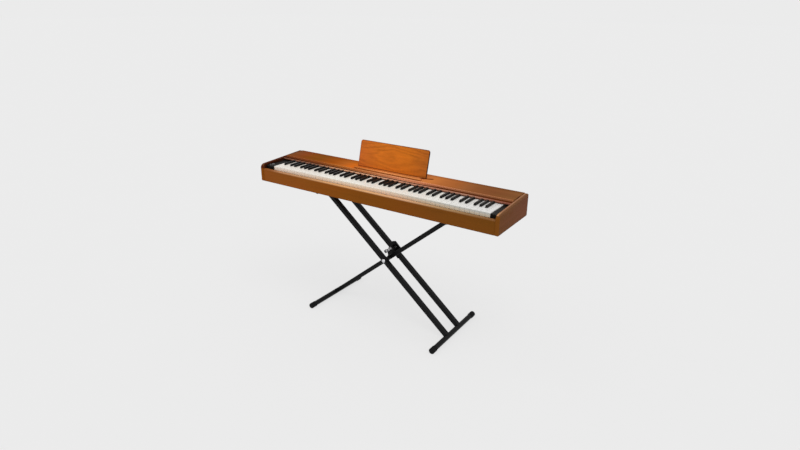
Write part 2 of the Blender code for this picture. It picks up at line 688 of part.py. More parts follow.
def build_spring(front_y, back_y):
    """A coil spring: one wire on a helix, wound about the pin, with its ends drawn in straight."""
    length = back_y - front_y - 2 * SPRING_WIRE
    count = SPRING_COILS * SPRING_POINTS
    points = []
    for index in range(count + 1):
        share = index / count
        turn = 2 * math.pi * SPRING_COILS * share
        points.append(Vector((
            LOCK_PIN.x + SPRING_RADIUS * math.cos(turn),
            front_y + SPRING_WIRE + length * share,
            LOCK_PIN.z + SPRING_RADIUS * math.sin(turn),
        )))
    gap = min(
        (points[i] - points[j]).length
        for i in range(len(points)) for j in range(i + SPRING_POINTS // 2, len(points))
    ) - 2 * SPRING_WIRE
    print(f"lock spring: least gap between coils {gap * 1000:.2f} mm")
    curve = bpy.data.curves.new("lock_spring", "CURVE")
    curve.dimensions = "3D"
    curve.bevel_depth = SPRING_WIRE
    curve.bevel_resolution = 1
    curve.use_fill_caps = True
    spline = curve.splines.new("POLY")
    spline.points.add(len(points) - 1)
    for point, place in zip(spline.points, points):
        point.co = (*place, 1.0)
    guide = bpy.data.objects.new("lock_spring_path", curve)
    CUTTERS.objects.link(guide)
    bpy.context.view_layer.update()
    mesh = bpy.data.meshes.new_from_object(guide.evaluated_get(bpy.context.evaluated_depsgraph_get()))
    bpy.data.objects.remove(guide, do_unlink=True)
    bm = bmesh.new()
    bm.from_mesh(mesh)
    bmesh.ops.remove_doubles(bm, verts=bm.verts, dist=0.00001)
    bmesh.ops.recalc_face_normals(bm, faces=bm.faces)
    bm.to_mesh(mesh)
    bm.free()
    add_part("lock_spring", mesh, "lock", STEEL, smooth=True)


def build_stand():
    leg_tube("front_leg_tube", FRONT_LEG_Y, False, "double_arm")
    leg_tube("rear_leg_tube", REAR_LEG_Y, False, "double_arm")
    leg_tube("single_leg_tube", 0.0, True, "single_arm")
    build_cross_tubes()
    build_pivot()
    build_lock()


def build_cheeks():
    """The two ends of the case, whose top edges fall straight from back to front."""
    front_y = CASE_FRONT - CHEEK_PROUD
    top = CASE_FLOOR + CHEEK_FRONT_HEIGHT
    outline = [
        (front_y, CASE_FLOOR),
        (CASE_BACK, CASE_FLOOR),
        (CASE_BACK, CASE_FLOOR + CHEEK_BACK_HEIGHT),
    ]
    outline += arc((front_y + CHEEK_NOSE, top - CHEEK_NOSE), CHEEK_NOSE, 90.0, 180.0, 3)
    for name, sign in (("left_cheek", -1), ("right_cheek", 1)):
        middle = sign * (CASE_HALF - CHEEK_THICK / 2)
        mesh = flat_mesh(name, [outline], CHEEK_THICK, side(middle))
        piece = add_part(name, mesh, "piano", WOOD_SIDE)
        bevel(piece, CHEEK_EDGE, 2)


def build_case():
    half = INNER_HALF - TOUCH
    panel(
        "front_panel",
        (-half, CASE_FRONT, CASE_FLOOR),
        (half, CASE_FRONT + FRONT_THICK, CASE_FLOOR + FRONT_HEIGHT),
        "piano", WOOD_DARK,
    )
    bottom = panel(
        "bottom_board",
        (-half, CASE_FRONT + FRONT_THICK + TOUCH, CASE_FLOOR),
        (half, CASE_BACK - BACK_THICK - TOUCH, CASE_FLOOR + BOTTOM_THICK),
        "piano", WOOD_SIDE,
    )
    for sign in (-1, 1):
        low = Vector((sign * SPEAKER_SPREAD, CASE_FRONT + SPEAKER_DEPTH, CASE_FLOOR - BOTTOM_THICK))
        hole = rod_mesh("sound_hole", low, low + Vector((0, 0, 3 * BOTTOM_THICK)), SOUND_HOLE_RADIUS)
        boolean(bottom, "DIFFERENCE", add_cutter("sound_hole", hole))
    back = panel(
        "back_panel", (-half, CASE_BACK - BACK_THICK, CASE_FLOOR), (half, CASE_BACK, LID_BOTTOM - TOUCH),
        "piano", WOOD_SIDE,
    )
    reach = Vector((SOCKET_PLATE_LENGTH / 2 + TOUCH, BACK_THICK, SOCKET_PLATE_HEIGHT / 2 + TOUCH))
    middle = Vector((SOCKET_PLATE_X, CASE_BACK - BACK_THICK / 2, CASE_FLOOR + SOCKET_PLATE_Z))
    window = box_mesh("socket_window", middle - reach, middle + reach)
    boolean(back, "DIFFERENCE", add_cutter("socket_window", window))
    lid = panel("lid", (-half, LID_FRONT, LID_BOTTOM), (half, CASE_BACK, LID_UPPER), "piano", WOOD_LIGHT)
    slot = box_mesh(
        "rest_slot",
        (-REST_HALF - TOUCH, -REST_THICK / 2 - TOUCH, -REST_SLOT - TOUCH),
        (REST_HALF + TOUCH, REST_THICK / 2 + TOUCH, REST_SLOT),
    )
    slot.transform(Matrix.Translation(REST_FOOT) @ Matrix.Rotation(-REST_LEAN, 4, "X"))
    boolean(lid, "DIFFERENCE", add_cutter("rest_slot", slot))
    panel(
        "control_strip",
        (-half, STRIP_FRONT, STRIP_BOTTOM),
        (half, STRIP_FRONT + STRIP_DEPTH, STRIP_BOTTOM + STRIP_HEIGHT),
        "piano", WOOD_DARK,
    )
    felt_top = STRIP_BOTTOM - TOUCH
    felt = box_mesh(
        "name_felt",
        (KEYS_LEFT, STRIP_FRONT - FELT_PROUD, felt_top - FELT_THICK),
        (KEYS_RIGHT, STRIP_FRONT - FELT_PROUD + FELT_DEPTH, felt_top),
    )
    add_part("name_felt", felt, "piano", FELT)


def key_block(name, low_x, high_x):
    """A black block beside the keys: a tub that is open underneath."""
    low = Vector((low_x, BLOCK_FRONT, INSIDE_FLOOR))
    high = Vector((high_x, BLOCK_FRONT + BLOCK_LENGTH, BLOCK_TOP))
    piece = panel(name, low, high, "piano", BLACK_PLASTIC, BLOCK_EDGE)
    wall = Vector((BLOCK_WALL, BLOCK_WALL, -BLOCK_WALL))
    hollow = box_mesh(name + "_hollow", low + wall, high - wall - Vector((0.0, 0.0, 2 * BLOCK_WALL)))
    boolean(piece, "DIFFERENCE", add_cutter(name + "_hollow", hollow))
    return piece


def build_blocks():
    bass = key_block("left_key_block", -INNER_HALF + TOUCH, KEYS_LEFT - TOUCH)
    key_block("right_key_block", KEYS_RIGHT + TOUCH, INNER_HALF - TOUCH)
    reach = Vector((0.0, 0.0, 2 * BLOCK_WALL))
    for name, radius in (("button", BUTTON_RADIUS + RUN), ("knob", KNOB_SHAFT + RUN)):
        place = CARRIERS[name][1]
        hole = rod_mesh(name + "_hole", place - reach, place + reach, radius, 16)
        boolean(bass, "DIFFERENCE", add_cutter(name + "_hole", hole))
    flange = BUTTON_RADIUS + 0.0015
    under = -BLOCK_WALL - 0.0005
    button = [
        (0.0, BUTTON_RISE), (BUTTON_RADIUS - 0.0006, BUTTON_RISE), (BUTTON_RADIUS, BUTTON_RISE - 0.0006),
        (BUTTON_RADIUS, under), (flange, under), (flange, under - 0.0015), (0.0, under - 0.0015),
    ]
    turned("power_button", button, CARRIERS["button"][1], (0, 0, 1), "button", GREY_PLASTIC, 16)
    knob = [
        (0.0, KNOB_HEIGHT), (KNOB_RADIUS - 0.001, KNOB_HEIGHT), (KNOB_RADIUS, KNOB_HEIGHT - 0.001),
        (KNOB_RADIUS, TOUCH), (KNOB_SHAFT, TOUCH), (KNOB_SHAFT, -2 * BLOCK_WALL), (0.0, -2 * BLOCK_WALL),
    ]
    turned("volume_knob", knob, CARRIERS["knob"][1], (0, 0, 1), "knob", GREY_PLASTIC, 16)


def build_socket_plate():
    """The plate behind, with the power inlet, two headphone sockets and a data socket."""
    back = CASE_BACK
    middle = CASE_FLOOR + SOCKET_PLATE_Z
    centre = Vector((SOCKET_PLATE_X, back, middle))
    half = Vector((SOCKET_PLATE_LENGTH / 2, 0.0, SOCKET_PLATE_HEIGHT / 2))
    inward = Vector((0.0, SOCKET_PLATE_THICK, 0.0))
    plate = panel(
        "socket_plate", centre - half - inward, centre + half, "piano", BLACK_PLASTIC, SOCKET_PLATE_EDGE,
    )
    radii = (POWER_SOCKET_RADIUS, None, PHONES_SOCKET_RADIUS, PHONES_SOCKET_RADIUS)
    for index, radius in enumerate(radii):
        x = SOCKET_PLATE_X + (index - 1.5) * SOCKET_PITCH
        inner = Vector((x, back - SOCKET_DEPTH, middle))
        outer = Vector((x, back + SOCKET_DEPTH, middle))
        if radius:
            hole = rod_mesh("socket", inner, outer, radius, 16)
        else:
            corner = Vector((DATA_SOCKET[0] / 2, 0.0, DATA_SOCKET[1] / 2))
            hole = box_mesh("socket", inner - corner, outer + corner)
        boolean(plate, "DIFFERENCE", add_cutter("socket", hole))


def build_rest():
    """The music rest leans back in its slot, and a ledge in front holds the music."""
    top = REST_HEIGHT
    corner = REST_CORNER
    outline = [(-REST_HALF, -REST_SLOT), (REST_HALF, -REST_SLOT)]
    outline += arc((REST_HALF - corner, top - corner), corner, 0, 90, 5)
    outline += arc((-REST_HALF + corner, top - corner), corner, 90, 180, 5)
    lean = Matrix.Translation(REST_FOOT) @ Matrix.Rotation(-REST_LEAN, 4, "X")
    mesh = flat_mesh("music_rest", [outline], REST_THICK, lean @ front(0.0))
    rest = add_part("music_rest", mesh, "rest", WOOD_LIGHT)
    bevel(rest, 0.0008)
    start = LID_FRONT + LEDGE_SETBACK
    seat = LID_UPPER + TOUCH
    panel(
        "music_ledge",
        (LEDGE_SHIFT - LEDGE_HALF, start, seat),
        (LEDGE_SHIFT + LEDGE_HALF, start + LEDGE_DEPTH, seat + LEDGE_HEIGHT),
        "piano", WOOD_LIGHT, LEDGE_EDGE,
    )


def build_insides():
    rail_front = KEY_FRONT + FRAME_RAIL_SETBACK
    rail_top = KEY_BOTTOM - KEY_DIP - TOUCH * 2
    black_rail = BLACK_BOTTOM - TOUCH
    white_rail = HEEL_BOTTOM - TOUCH
    profile = [
        (rail_front, INSIDE_FLOOR),
        (BLACK_BACK, INSIDE_FLOOR),
        (BLACK_BACK, black_rail),
        (KEY_BACK + TOUCH, black_rail),
        (KEY_BACK + TOUCH, white_rail),
        (HEEL_FRONT, white_rail),
        (HEEL_FRONT, FRAME_FLOOR),
        (rail_front + FRAME_RAIL, FRAME_FLOOR),
        (rail_front + FRAME_RAIL, rail_top),
        (rail_front, rail_top),
    ]
    mesh = flat_mesh("key_frame", [profile], KEYS_LENGTH, side((KEYS_LEFT + KEYS_RIGHT) / 2))
    frame = add_part("key_frame", mesh, "piano", BLACK_PLASTIC)
    speaker_y = CASE_FRONT + SPEAKER_DEPTH
    for name, sign in (("left_speaker", -1), ("right_speaker", 1)):
        place = Vector((sign * SPEAKER_SPREAD, speaker_y, INSIDE_FLOOR))
        up = Vector((0.0, 0.0, FRAME_BASE))
        hole = rod_mesh("speaker_hole", place - up, place + 2 * up, SPEAKER_RADIUS + 0.001)
        boolean(frame, "DIFFERENCE", add_cutter(name + "_hole", hole))
        speaker(name, place)
    build_board()


def speaker(name, place):
    """A shallow loudspeaker that faces down through its hole in the bottom board."""
    flange = 0.004
    magnet = SPEAKER_RADIUS * 0.45
    profile = [
        (0.0, SPEAKER_HEIGHT),
        (magnet, SPEAKER_HEIGHT),
        (magnet, SPEAKER_HEIGHT * 0.7),
        (SPEAKER_RADIUS * 0.75, SPEAKER_HEIGHT * 0.5),
        (SPEAKER_RADIUS * 0.8, flange),
        (SPEAKER_RADIUS, flange),
        (SPEAKER_RADIUS, 0.0),
        (SOUND_HOLE_RADIUS, 0.0),
        (SOUND_HOLE_RADIUS * 0.9, 0.002),
        (SPEAKER_RADIUS * 0.25, SPEAKER_HEIGHT * 0.4),
        (0.0, SPEAKER_HEIGHT * 0.3),
    ]
    turned(name, profile, place, (0, 0, 1), "piano", BLACK_PLASTIC, 24)


def build_board():
    """The main circuit board, lying on the key frame, with its larger chips."""
    low = FRAME_FLOOR + TOUCH
    top = low + BOARD_THICK
    y = CASE_FRONT + BOARD_SETBACK
    mesh = box_mesh(
        "main_board", (-BOARD_LENGTH / 2, y, low), (BOARD_LENGTH / 2, y + BOARD_WIDTH, top),
    )
    board = add_part("main_board", mesh, "piano", BOARD_GREEN)
    chip_low = top - BOARD_THICK / 2
    for along, across, half in CHIPS:
        place = Vector((along, y + BOARD_WIDTH / 2 + across, 0.0))
        low = place + Vector((-half, -half, chip_low))
        high = place + Vector((half, half, top + CHIP_HEIGHT))
        chip = box_mesh("chip", low, high)
        boolean(board, "UNION", add_cutter("chip", chip))


BLACK_SHIFT = {1: -1 / 10, 3: 1 / 10, 6: -1 / 7, 8: 0.0, 10: 1 / 7}
NOTE_NAMES = ("c", "c_sharp", "d", "d_sharp", "e", "f", "f_sharp", "g", "g_sharp", "a", "a_sharp", "b")


def pitch_class(note):
    return (note + FIRST_PITCH) % 12


def note_name(note):
    return f"{NOTE_NAMES[pitch_class(note)]}{(note + FIRST_PITCH) // 12}"


def is_black(note):
    return 0 <= note < NOTES and pitch_class(note) in BLACK_SHIFT


def whites_before(note):
    return sum(not is_black(other) for other in range(note))


def black_middle(note):
    """A black key's middle: the boundary of two white keys, shifted so that the tails are alike."""
    return KEYS_LEFT + (whites_before(note) + BLACK_SHIFT[pitch_class(note)]) * WHITE_PITCH


def white_outline(note):
    """A white key from above: a head, and a tail that is notched for its black neighbours."""
    left = KEYS_LEFT + whites_before(note) * WHITE_PITCH + KEY_GAP / 2
    right = left + WHITE_PITCH - KEY_GAP
    notch = BLACK_FRONT - KEY_GAP
    clear = BLACK_WIDTH / 2 + KEY_GAP
    outline = [(left, KEY_FRONT), (right, KEY_FRONT)]
    if is_black(note + 1):
        tail = black_middle(note + 1) - clear
        outline += [(right, notch), (tail, notch), (tail, KEY_BACK)]
    else:
        outline += [(right, KEY_BACK)]
    if is_black(note - 1):
        tail = black_middle(note - 1) + clear
        outline += [(tail, KEY_BACK), (tail, notch), (left, notch)]
    else:
        outline += [(left, KEY_BACK)]
    return outline


def ease_top(mesh, top, width):
    """A narrow chamfer on the edges round an upper face."""
    bm = bmesh.new()
    bm.from_mesh(mesh)
    bmesh.ops.dissolve_limit(bm, angle_limit=math.radians(1), verts=bm.verts, edges=bm.edges)
    edges = [
        edge for edge in bm.edges
        if all(abs(vert.co.z - top) < 0.00005 for vert in edge.verts)
    ]
    bmesh.ops.bevel(bm, geom=edges, offset=width, segments=1, profile=0.5, affect="EDGES")
    bm.to_mesh(mesh)
    bm.free()


def white_keys(name, notes):
    """White keys over one heel: a single key, or a moulded comb of several."""
    outlines = [white_outline(note) for note in notes]
    mesh = flat_mesh(name, outlines, WHITE_THICK, plan(KEY_TOP - WHITE_THICK / 2))
    ease_top(mesh, KEY_TOP, KEY_EDGE)
    keys = add_part(name, mesh, "white_keys", IVORY)
    inset = TOUCH
    rear = [x for outline in outlines for x, y in outline if abs(y - KEY_BACK) < 1e-6]
    heel = box_mesh(
        "heel",
        (min(rear) + inset, HEEL_FRONT, HEEL_BOTTOM),
        (max(rear) - inset, KEY_BACK - inset, KEY_BOTTOM + HEEL_SINK),
    )
    boolean(keys, "UNION", add_cutter(name + "_heel", heel))


def black_outline():
    """A black key from the side: a raised part with a sloping front, then a shank."""
    top = KEY_TOP + BLACK_RISE
    shank_top = BLACK_BOTTOM + BLACK_SHANK
    raised_back = STRIP_FRONT - BLACK_STEP
    return [
        (BLACK_FRONT, BLACK_BOTTOM),
        (BLACK_BACK, BLACK_BOTTOM),
        (BLACK_BACK, shank_top),
        (raised_back, shank_top),
        (raised_back, top),
        (BLACK_FRONT + BLACK_NOSE, top),
        (BLACK_FRONT + BLACK_NOSE * 0.3, top - BLACK_RISE * 0.3),
        (BLACK_FRONT, KEY_TOP),
    ]


def black_keys(name, notes):
    """Black keys that share a rail behind the white ones: a single key, or a comb of several."""
    one = flat_mesh(name + "_one", [black_outline()], BLACK_WIDTH, side(0.0))
    ease_top(one, KEY_TOP + BLACK_RISE, BLACK_EDGE)
    bm = bmesh.new()
    for note in notes:
        shifted = one.copy()
        shifted.transform(Matrix.Translation((black_middle(note), 0.0, 0.0)))
        bm.from_mesh(shifted)
        bpy.data.meshes.remove(shifted)
    bpy.data.meshes.remove(one)
    keys = add_part(name, mesh_from(bm, name), "black_keys", EBONY)
    if len(notes) > 1:
        inset = TOUCH
        left = black_middle(notes[0]) - BLACK_WIDTH / 2 + inset
        right = black_middle(notes[-1]) + BLACK_WIDTH / 2 - inset
        rail = box_mesh(
            "rail",
            (left, BLACK_RAIL_FRONT, BLACK_BOTTOM + inset),
            (right, BLACK_BACK - inset, BLACK_BOTTOM + BLACK_SHANK - inset),
        )
        boolean(keys, "UNION", add_cutter(name + "_rail", rail))


def build_keys():
    for note in SINGLE_NOTES:
        if is_black(note):
            black_keys("key_" + note_name(note), [note])
        else:
            white_keys("key_" + note_name(note), [note])
    for first, last in COMB_SECTIONS:
        notes = range(first, last + 1)
        span = f"{note_name(first)}_to_{note_name(last)}"
        white_keys("white_keys_" + span, [note for note in notes if not is_black(note)])
        black_keys("black_keys_" + span, [note for note in notes if is_black(note)])


build_carriers()
build_stand()
build_cheeks()
build_case()
build_blocks()
build_socket_plate()
build_rest()
build_insides()
build_keys()
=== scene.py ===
"""Looks of a digital piano on its folding stand: fine surfaces, finishes, light and camera.

Metres, +Z up, the treble end at +X and the player at -Y.  Sizes that the solid model already
has are read from its boxes, so that every surface here lies where its solid does.
"""
import math

import bpy
import numpy as np
from mathutils import Matrix, Vector
from mathutils.geometry import convex_hull_2d


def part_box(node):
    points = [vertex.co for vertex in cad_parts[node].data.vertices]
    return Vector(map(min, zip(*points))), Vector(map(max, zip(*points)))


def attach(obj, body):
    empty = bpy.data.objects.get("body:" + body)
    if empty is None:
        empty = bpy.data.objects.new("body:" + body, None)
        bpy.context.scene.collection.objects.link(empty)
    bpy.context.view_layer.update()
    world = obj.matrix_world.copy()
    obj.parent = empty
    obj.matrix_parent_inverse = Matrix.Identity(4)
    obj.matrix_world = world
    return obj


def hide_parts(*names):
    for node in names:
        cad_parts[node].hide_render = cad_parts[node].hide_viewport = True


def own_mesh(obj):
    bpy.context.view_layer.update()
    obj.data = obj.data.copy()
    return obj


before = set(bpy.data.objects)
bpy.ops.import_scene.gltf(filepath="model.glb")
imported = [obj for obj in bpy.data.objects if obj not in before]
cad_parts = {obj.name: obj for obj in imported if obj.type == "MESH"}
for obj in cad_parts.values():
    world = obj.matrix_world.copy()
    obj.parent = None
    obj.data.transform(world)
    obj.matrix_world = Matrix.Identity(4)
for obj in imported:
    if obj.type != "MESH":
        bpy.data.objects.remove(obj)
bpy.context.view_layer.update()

X_WAY = (1.0, 0.0, 0.0)
Y_WAY = (0.0, 1.0, 0.0)
Z_WAY = (0.0, 0.0, 1.0)
ALONG_X = {"across": Y_WAY, "up": Z_WAY, "out": X_WAY}
ALONG_Y = {"across": X_WAY, "up": Z_WAY, "out": Y_WAY}
FULL_TURN = 2.0 * math.pi
CREASE = math.radians(40.0)
GUARD = 0.3  # of a corner's radius, the flat kept beside it

# Keyboard
KEY_PITCH = 0.0235
KEY_GAP = 0.001
KEY_FIT = 0.0003
BLACK_WIDTH = 0.0105
BLACK_NOSE = 0.0065
FIRST_PITCH = 9
BLACK_SHIFT = {1: -1 / 10, 3: 1 / 10, 6: -1 / 7, 8: 0.0, 10: 1 / 7}
NOTE_NAMES = ("c", "c_sharp", "d", "d_sharp", "e", "f", "f_sharp", "g", "g_sharp", "a", "a_sharp", "b")
SINGLE_NOTES = range(39, 51)
COMB_SECTIONS = ((0, 14), (15, 38), (51, 74), (75, 87))

# Case
REST_LEAN = math.radians(14.0)
REST_THICK = 0.006
SLOT_HALF = 0.0033
SLOT_DEPTH = 0.0088
SOCKET_PITCH = 0.024

# Stand
LEG_WIDTH = 0.022
LEG_APART = 0.0558
TUBE_RADIUS = 0.0125
TUBE_WALL = 0.0015
CUP_BORE = 0.0128
BOLT_REACH = 0.0686
LOCK_ALONG = 0.016
LOCK_ABOVE = 0.035


def placed(name, data):
    """A new object in the scene."""
    made = bpy.data.objects.new(name, data)
    bpy.context.scene.collection.objects.link(made)
    return made


# Surfaces

class Skins:
    """Closed skins gathered into one mesh."""

    def __init__(self):
        self.points = []
        self.quads = []
        self.triangles = []
        self.count = 0

    def add(self, rings, hubs=None, closed_along=False, **lay):
        """Rings of points, laid out as asked, each joined to the next by quads.

        The last ring joins the first when closed_along; otherwise a fan of triangles round a
        hub closes each end ring.
        """
        rings = laid(rings, **lay)
        count, around, _ = rings.shape
        index = np.arange(count * around).reshape(count, around)
        ahead = np.roll(index, -1, 1)
        rows = count if closed_along else count - 1
        above = np.roll(index, -1, 0)[:rows]
        above_ahead = np.roll(ahead, -1, 0)[:rows]
        quads = np.stack([index[:rows], ahead[:rows], above_ahead, above], -1).reshape(-1, 4)
        points = rings.reshape(-1, 3)
        triangles = np.zeros((0, 3), int)
        if not closed_along:
            hubs = [rings[0].mean(0), rings[-1].mean(0)] if hubs is None else laid(hubs, **lay)
            points = np.concatenate([points, hubs])
            start = np.full(around, count * around)
            triangles = np.concatenate([
                np.stack([ahead[0], index[0], start], -1), np.stack([index[-1], ahead[-1], start + 1], -1),
            ])
        corners = np.concatenate([points[quads[:, [0, 1, 2]]], points[quads[:, [0, 2, 3]]], points[triangles]])
        volume = np.einsum("ij,ij->", corners[:, 0], np.cross(corners[:, 1], corners[:, 2]))
        if volume < 0:
            quads = quads[:, ::-1]
            triangles = triangles[:, ::-1]
        self.points.append(points)
        self.quads.append(quads + self.count)
        self.triangles.append(triangles + self.count)
        self.count += len(points)
        return self

    def piece(self, name, body, finish, *nodes):
        """The gathered skins as one object on a body, shown in place of some solids."""
        faces = np.concatenate(self.quads).tolist() + np.concatenate(self.triangles).tolist()
        mesh = bpy.data.meshes.new(name)
        mesh.from_pydata(np.concatenate(self.points).tolist(), [], faces)
        mesh.shade_smooth()
        mesh.set_sharp_from_angle(angle=CREASE)
        mesh.materials.append(finish.material)
        made = placed(name, mesh)
        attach(made, body)
        if nodes:
            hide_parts(*nodes)
        return made


def show(name, body, finish, node, *skin, **lay):
    """One skin as a piece, shown in place of a node."""
    return Skins().add(*skin, **lay).piece(name, body, finish, node)


def laid(points, across=X_WAY, up=Y_WAY, out=Z_WAY, origin=(0.0, 0.0, 0.0)):
    """Points of a drawing, its three measures laid along three directions from an origin."""
    return np.asarray(origin, float) + np.asarray(points, float) @ np.array([across, up, out], float)


def angles(count):
    return np.linspace(0.0, FULL_TURN, count, endpoint=False)


def raised(outline, height):
    """A flat outline at one height."""
    return np.column_stack([outline, np.full(len(outline), height)])


def rounded(corners, radii, steps=5, closed=True):
    """An outline whose corners are arcs, each with a guard point beside it that keeps its sides flat."""
    corners = np.asarray(corners, float)
    last = len(corners) - 1
    parts = []
    for k, (corner, radius) in enumerate(zip(corners, np.broadcast_to(radii, last + 1))):
        if radius <= 0 or (not closed and k in (0, last)):
            parts.append(corner[None])
            continue
        back = corners[k - 1] - corner
        ahead = corners[(k + 1) % (last + 1)] - corner
        back_way = back / np.linalg.norm(back)
        ahead_way = ahead / np.linalg.norm(ahead)
        half = math.acos(np.clip(back_way @ ahead_way, -1.0, 1.0)) / 2
        reach = radius / math.tan(half)
        middle = back_way + ahead_way
        centre = corner + middle / np.linalg.norm(middle) * radius / math.sin(half)
        first = corner + back_way * reach - centre
        second = corner + ahead_way * reach - centre
        swing = math.pi - 2 * half
        share = np.linspace(0.0, 1.0, steps + 1)[:, None]
        bow = (np.sin((1 - share) * swing) * first + np.sin(share * swing) * second) / math.sin(swing)
        edge = reach + GUARD * radius
        parts += [(corner + back_way * edge)[None], centre + bow, (corner + ahead_way * edge)[None]]
    return np.concatenate(parts)


def block(left, low, right, high, radii, steps=5):
    """A rectangle with rounded corners, from its lower left corner round to its upper left."""
    return rounded([(left, low), (right, low), (right, high), (left, high)], radii, steps)


def drawn_in(outline, distances):
    """An outline moved inwards by each distance, every point along the mitre of its two sides."""
    side = np.roll(outline, -1, 0) - outline
    side /= np.linalg.norm(side, axis=1)[:, None]
    inward = np.stack([-side[:, 1], side[:, 0]], 1)
    before = np.roll(inward, 1, 0)
    mitre = (inward + before) / (1 + np.sum(inward * before, 1))[:, None]
    x, y = outline.T
    if np.sum(x * np.roll(y, -1) - np.roll(x, -1) * y) < 0:
        mitre = -mitre
    return outline + np.asarray(distances, float)[:, None, None] * mitre


def slab(outline, low, high, rim, high_rim=None, hub=None, steps=4):
    """A board: an outline through a thickness, drawn in along a quarter round at each rim."""
    turn = np.linspace(0.0, math.pi / 2, steps + 1)

    def rim_steps(radius):
        inset = radius * (1 - np.sin(turn))
        climb = radius * (1 - np.cos(turn))
        guard = (1 + GUARD) * radius
        return np.concatenate([[guard], inset, [0.0]]), np.concatenate([[0.0], climb, [guard]])

    low_inset, low_climb = rim_steps(rim)
    high_inset, high_climb = rim_steps(rim if high_rim is None else high_rim)
    insets = np.concatenate([low_inset, high_inset[::-1]])
    heights = np.concatenate([low + low_climb, high - high_climb[::-1]])
    flat = drawn_in(outline, insets)
    tall = np.broadcast_to(heights[:, None, None], (*flat.shape[:2], 1))
    hub = outline.mean(0) if hub is None else np.asarray(hub, float)
    return np.concatenate([flat, tall], -1), np.array([[*hub, heights[0]], [*hub, heights[-1]]])


def turned(profile, steps=48):
    """Rings of a profile of radius and height turned about the height axis."""
    turn = angles(steps)
    radius, height = np.asarray(profile, float).T[:, :, None]
    return np.stack([radius * np.cos(turn), radius * np.sin(turn), height + 0 * turn], -1)


def lathe(profile, steps=48):
    """A turned profile that starts and ends on the axis, with the hubs that close it there."""
    return turned(profile[1:-1], steps), np.array([[0.0, 0.0, profile[0, 1]], [0.0, 0.0, profile[-1, 1]]])


def closer(profile, step):
    """A profile with points added along its stretches, so that none is longer than a step."""
    parts = []
    for first, second in zip(profile[:-1], profile[1:]):
        count = max(1, math.ceil(np.linalg.norm(second - first) / step))
        parts.append(first + (second - first) * np.linspace(0.0, 1.0, count, endpoint=False)[:, None])
    return np.concatenate([*parts, profile[-1:]])


# Finishes

class Node:
    """A shader node as a term of arithmetic.  Each tree that needs the term makes the node once."""

    def __init__(self, kind, settings, *values, output=0, **named):
        self.kind = kind
        self.settings = settings
        self.feeds = {**dict(enumerate(values)), **named}
        self.output = output

    def maths(self, operation, *others):
        return Node("Math", {"operation": operation}, self, *others)

    def __add__(self, other):
        return self.maths("ADD", other)

    def __sub__(self, other):
        return self.maths("SUBTRACT", other)

    def __rsub__(self, other):
        return Node("Math", {"operation": "SUBTRACT"}, other, self)

    def __mul__(self, other):
        return self.maths("MULTIPLY", other)

    def __truediv__(self, other):
        return self.maths("DIVIDE", other)

    def __or__(self, other):
        """The greater of two terms."""
        return self.maths("MAXIMUM", other)

    def __abs__(self):
        return self.maths("ABSOLUTE")

    __radd__ = __add__
    __rmul__ = __mul__

    def between(self, start, end):
        """0 before start and 1 past end, with a soft rise."""
        return Node("MapRange", {"interpolation_type": "SMOOTHSTEP"}, self, start, end, 0.0, 1.0)


def tone(red, green, blue):
    """A colour as a screen shows it, from 0 to 255, made linear."""
    screen = np.array([red, green, blue]) / 255.0
    linear = np.where(screen <= 0.04045, screen / 12.92, ((screen + 0.055) / 1.055) ** 2.4)
    return (*linear.tolist(), 1.0)


def grow(owner, kind, shader):
    """Fills the tree of a material or a world with a shader's nodes, behind its output node."""
    owner.use_nodes = True
    tree = owner.node_tree
    tree.nodes.clear()
    made = {}

    def feed(socket, value):
        if isinstance(value, Node):
            if value not in made:
                make(value)
            tree.links.new(made[value].outputs[value.output], socket)
        elif socket.type == "RGBA" and len(value) == 3:
            socket.default_value = tone(*value)
        else:
            socket.default_value = value

    def make(term):
        node = made[term] = tree.nodes.new("ShaderNode" + term.kind)
        for key, setting in term.settings.items():
            if key == "stops":
                stops = node.color_ramp.elements
                while len(stops) < len(setting):
                    stops.new(0.5)
                for stop, (at, *shade) in zip(stops, setting):
                    stop.position = at
                    stop.color = tone(*shade)
            else:
                setattr(node, key, setting)
        for at, value in term.feeds.items():
            feed(node.inputs[at], value)

    feed(tree.nodes.new("ShaderNode" + kind).inputs[0], shader)


class Finish:
    """A material of one Principled shader, with its slot's name."""

    def __init__(self, name, slot=None, **sockets):
        self.slot = slot
        self.material = bpy.data.materials.new(name)
        named = {key.replace("_", " "): value for key, value in sockets.items()}
        grow(self.material, "OutputMaterial", Node("BsdfPrincipled", {}, **named))


PLACE = Node("TexCoord", {}, output="Object")


def stretched(scale, shift=(0.0, 0.0, 0.0)):
    return Node("Mapping", {}, PLACE, shift, (0.0, 0.0, 0.0), scale)


def noise(vector, scale=1.0, detail=4.0, roughness=0.55, distortion=0.0):
    return Node(
        "TexNoise", {}, Vector=vector, Scale=scale, Detail=detail, Roughness=roughness, Distortion=distortion,
    )


def mix(share, first, second, way="MIX"):
    """Two colours, mixed by a share."""
    mixed = Node("Mix", {"data_type": "RGBA", "blend_type": way}, output=2)
    mixed.feeds = {0: share, 6: first, 7: second}
    return mixed


def axis(name):
    return Node("SeparateXYZ", {}, PLACE, output=name)


def rise(name, edge, start, end):
    """0 before start and 1 past end along an axis, both taken from an edge."""
    return axis(name).between(edge + start, edge + end)


def graded(name, *stops):
    """A colour that changes along an axis: each stop is a place on it, and its tone there."""
    first, last = stops[0][0], stops[-1][0]
    shares = [((at - first) / (last - first), *shade) for at, *shade in stops]
    return Node("ValToRGB", {"stops": shares}, (axis(name) - first) / (last - first))


def bump(height, distance, strength):
    return Node("Bump", {}, Strength=strength, Distance=distance, Height=height)


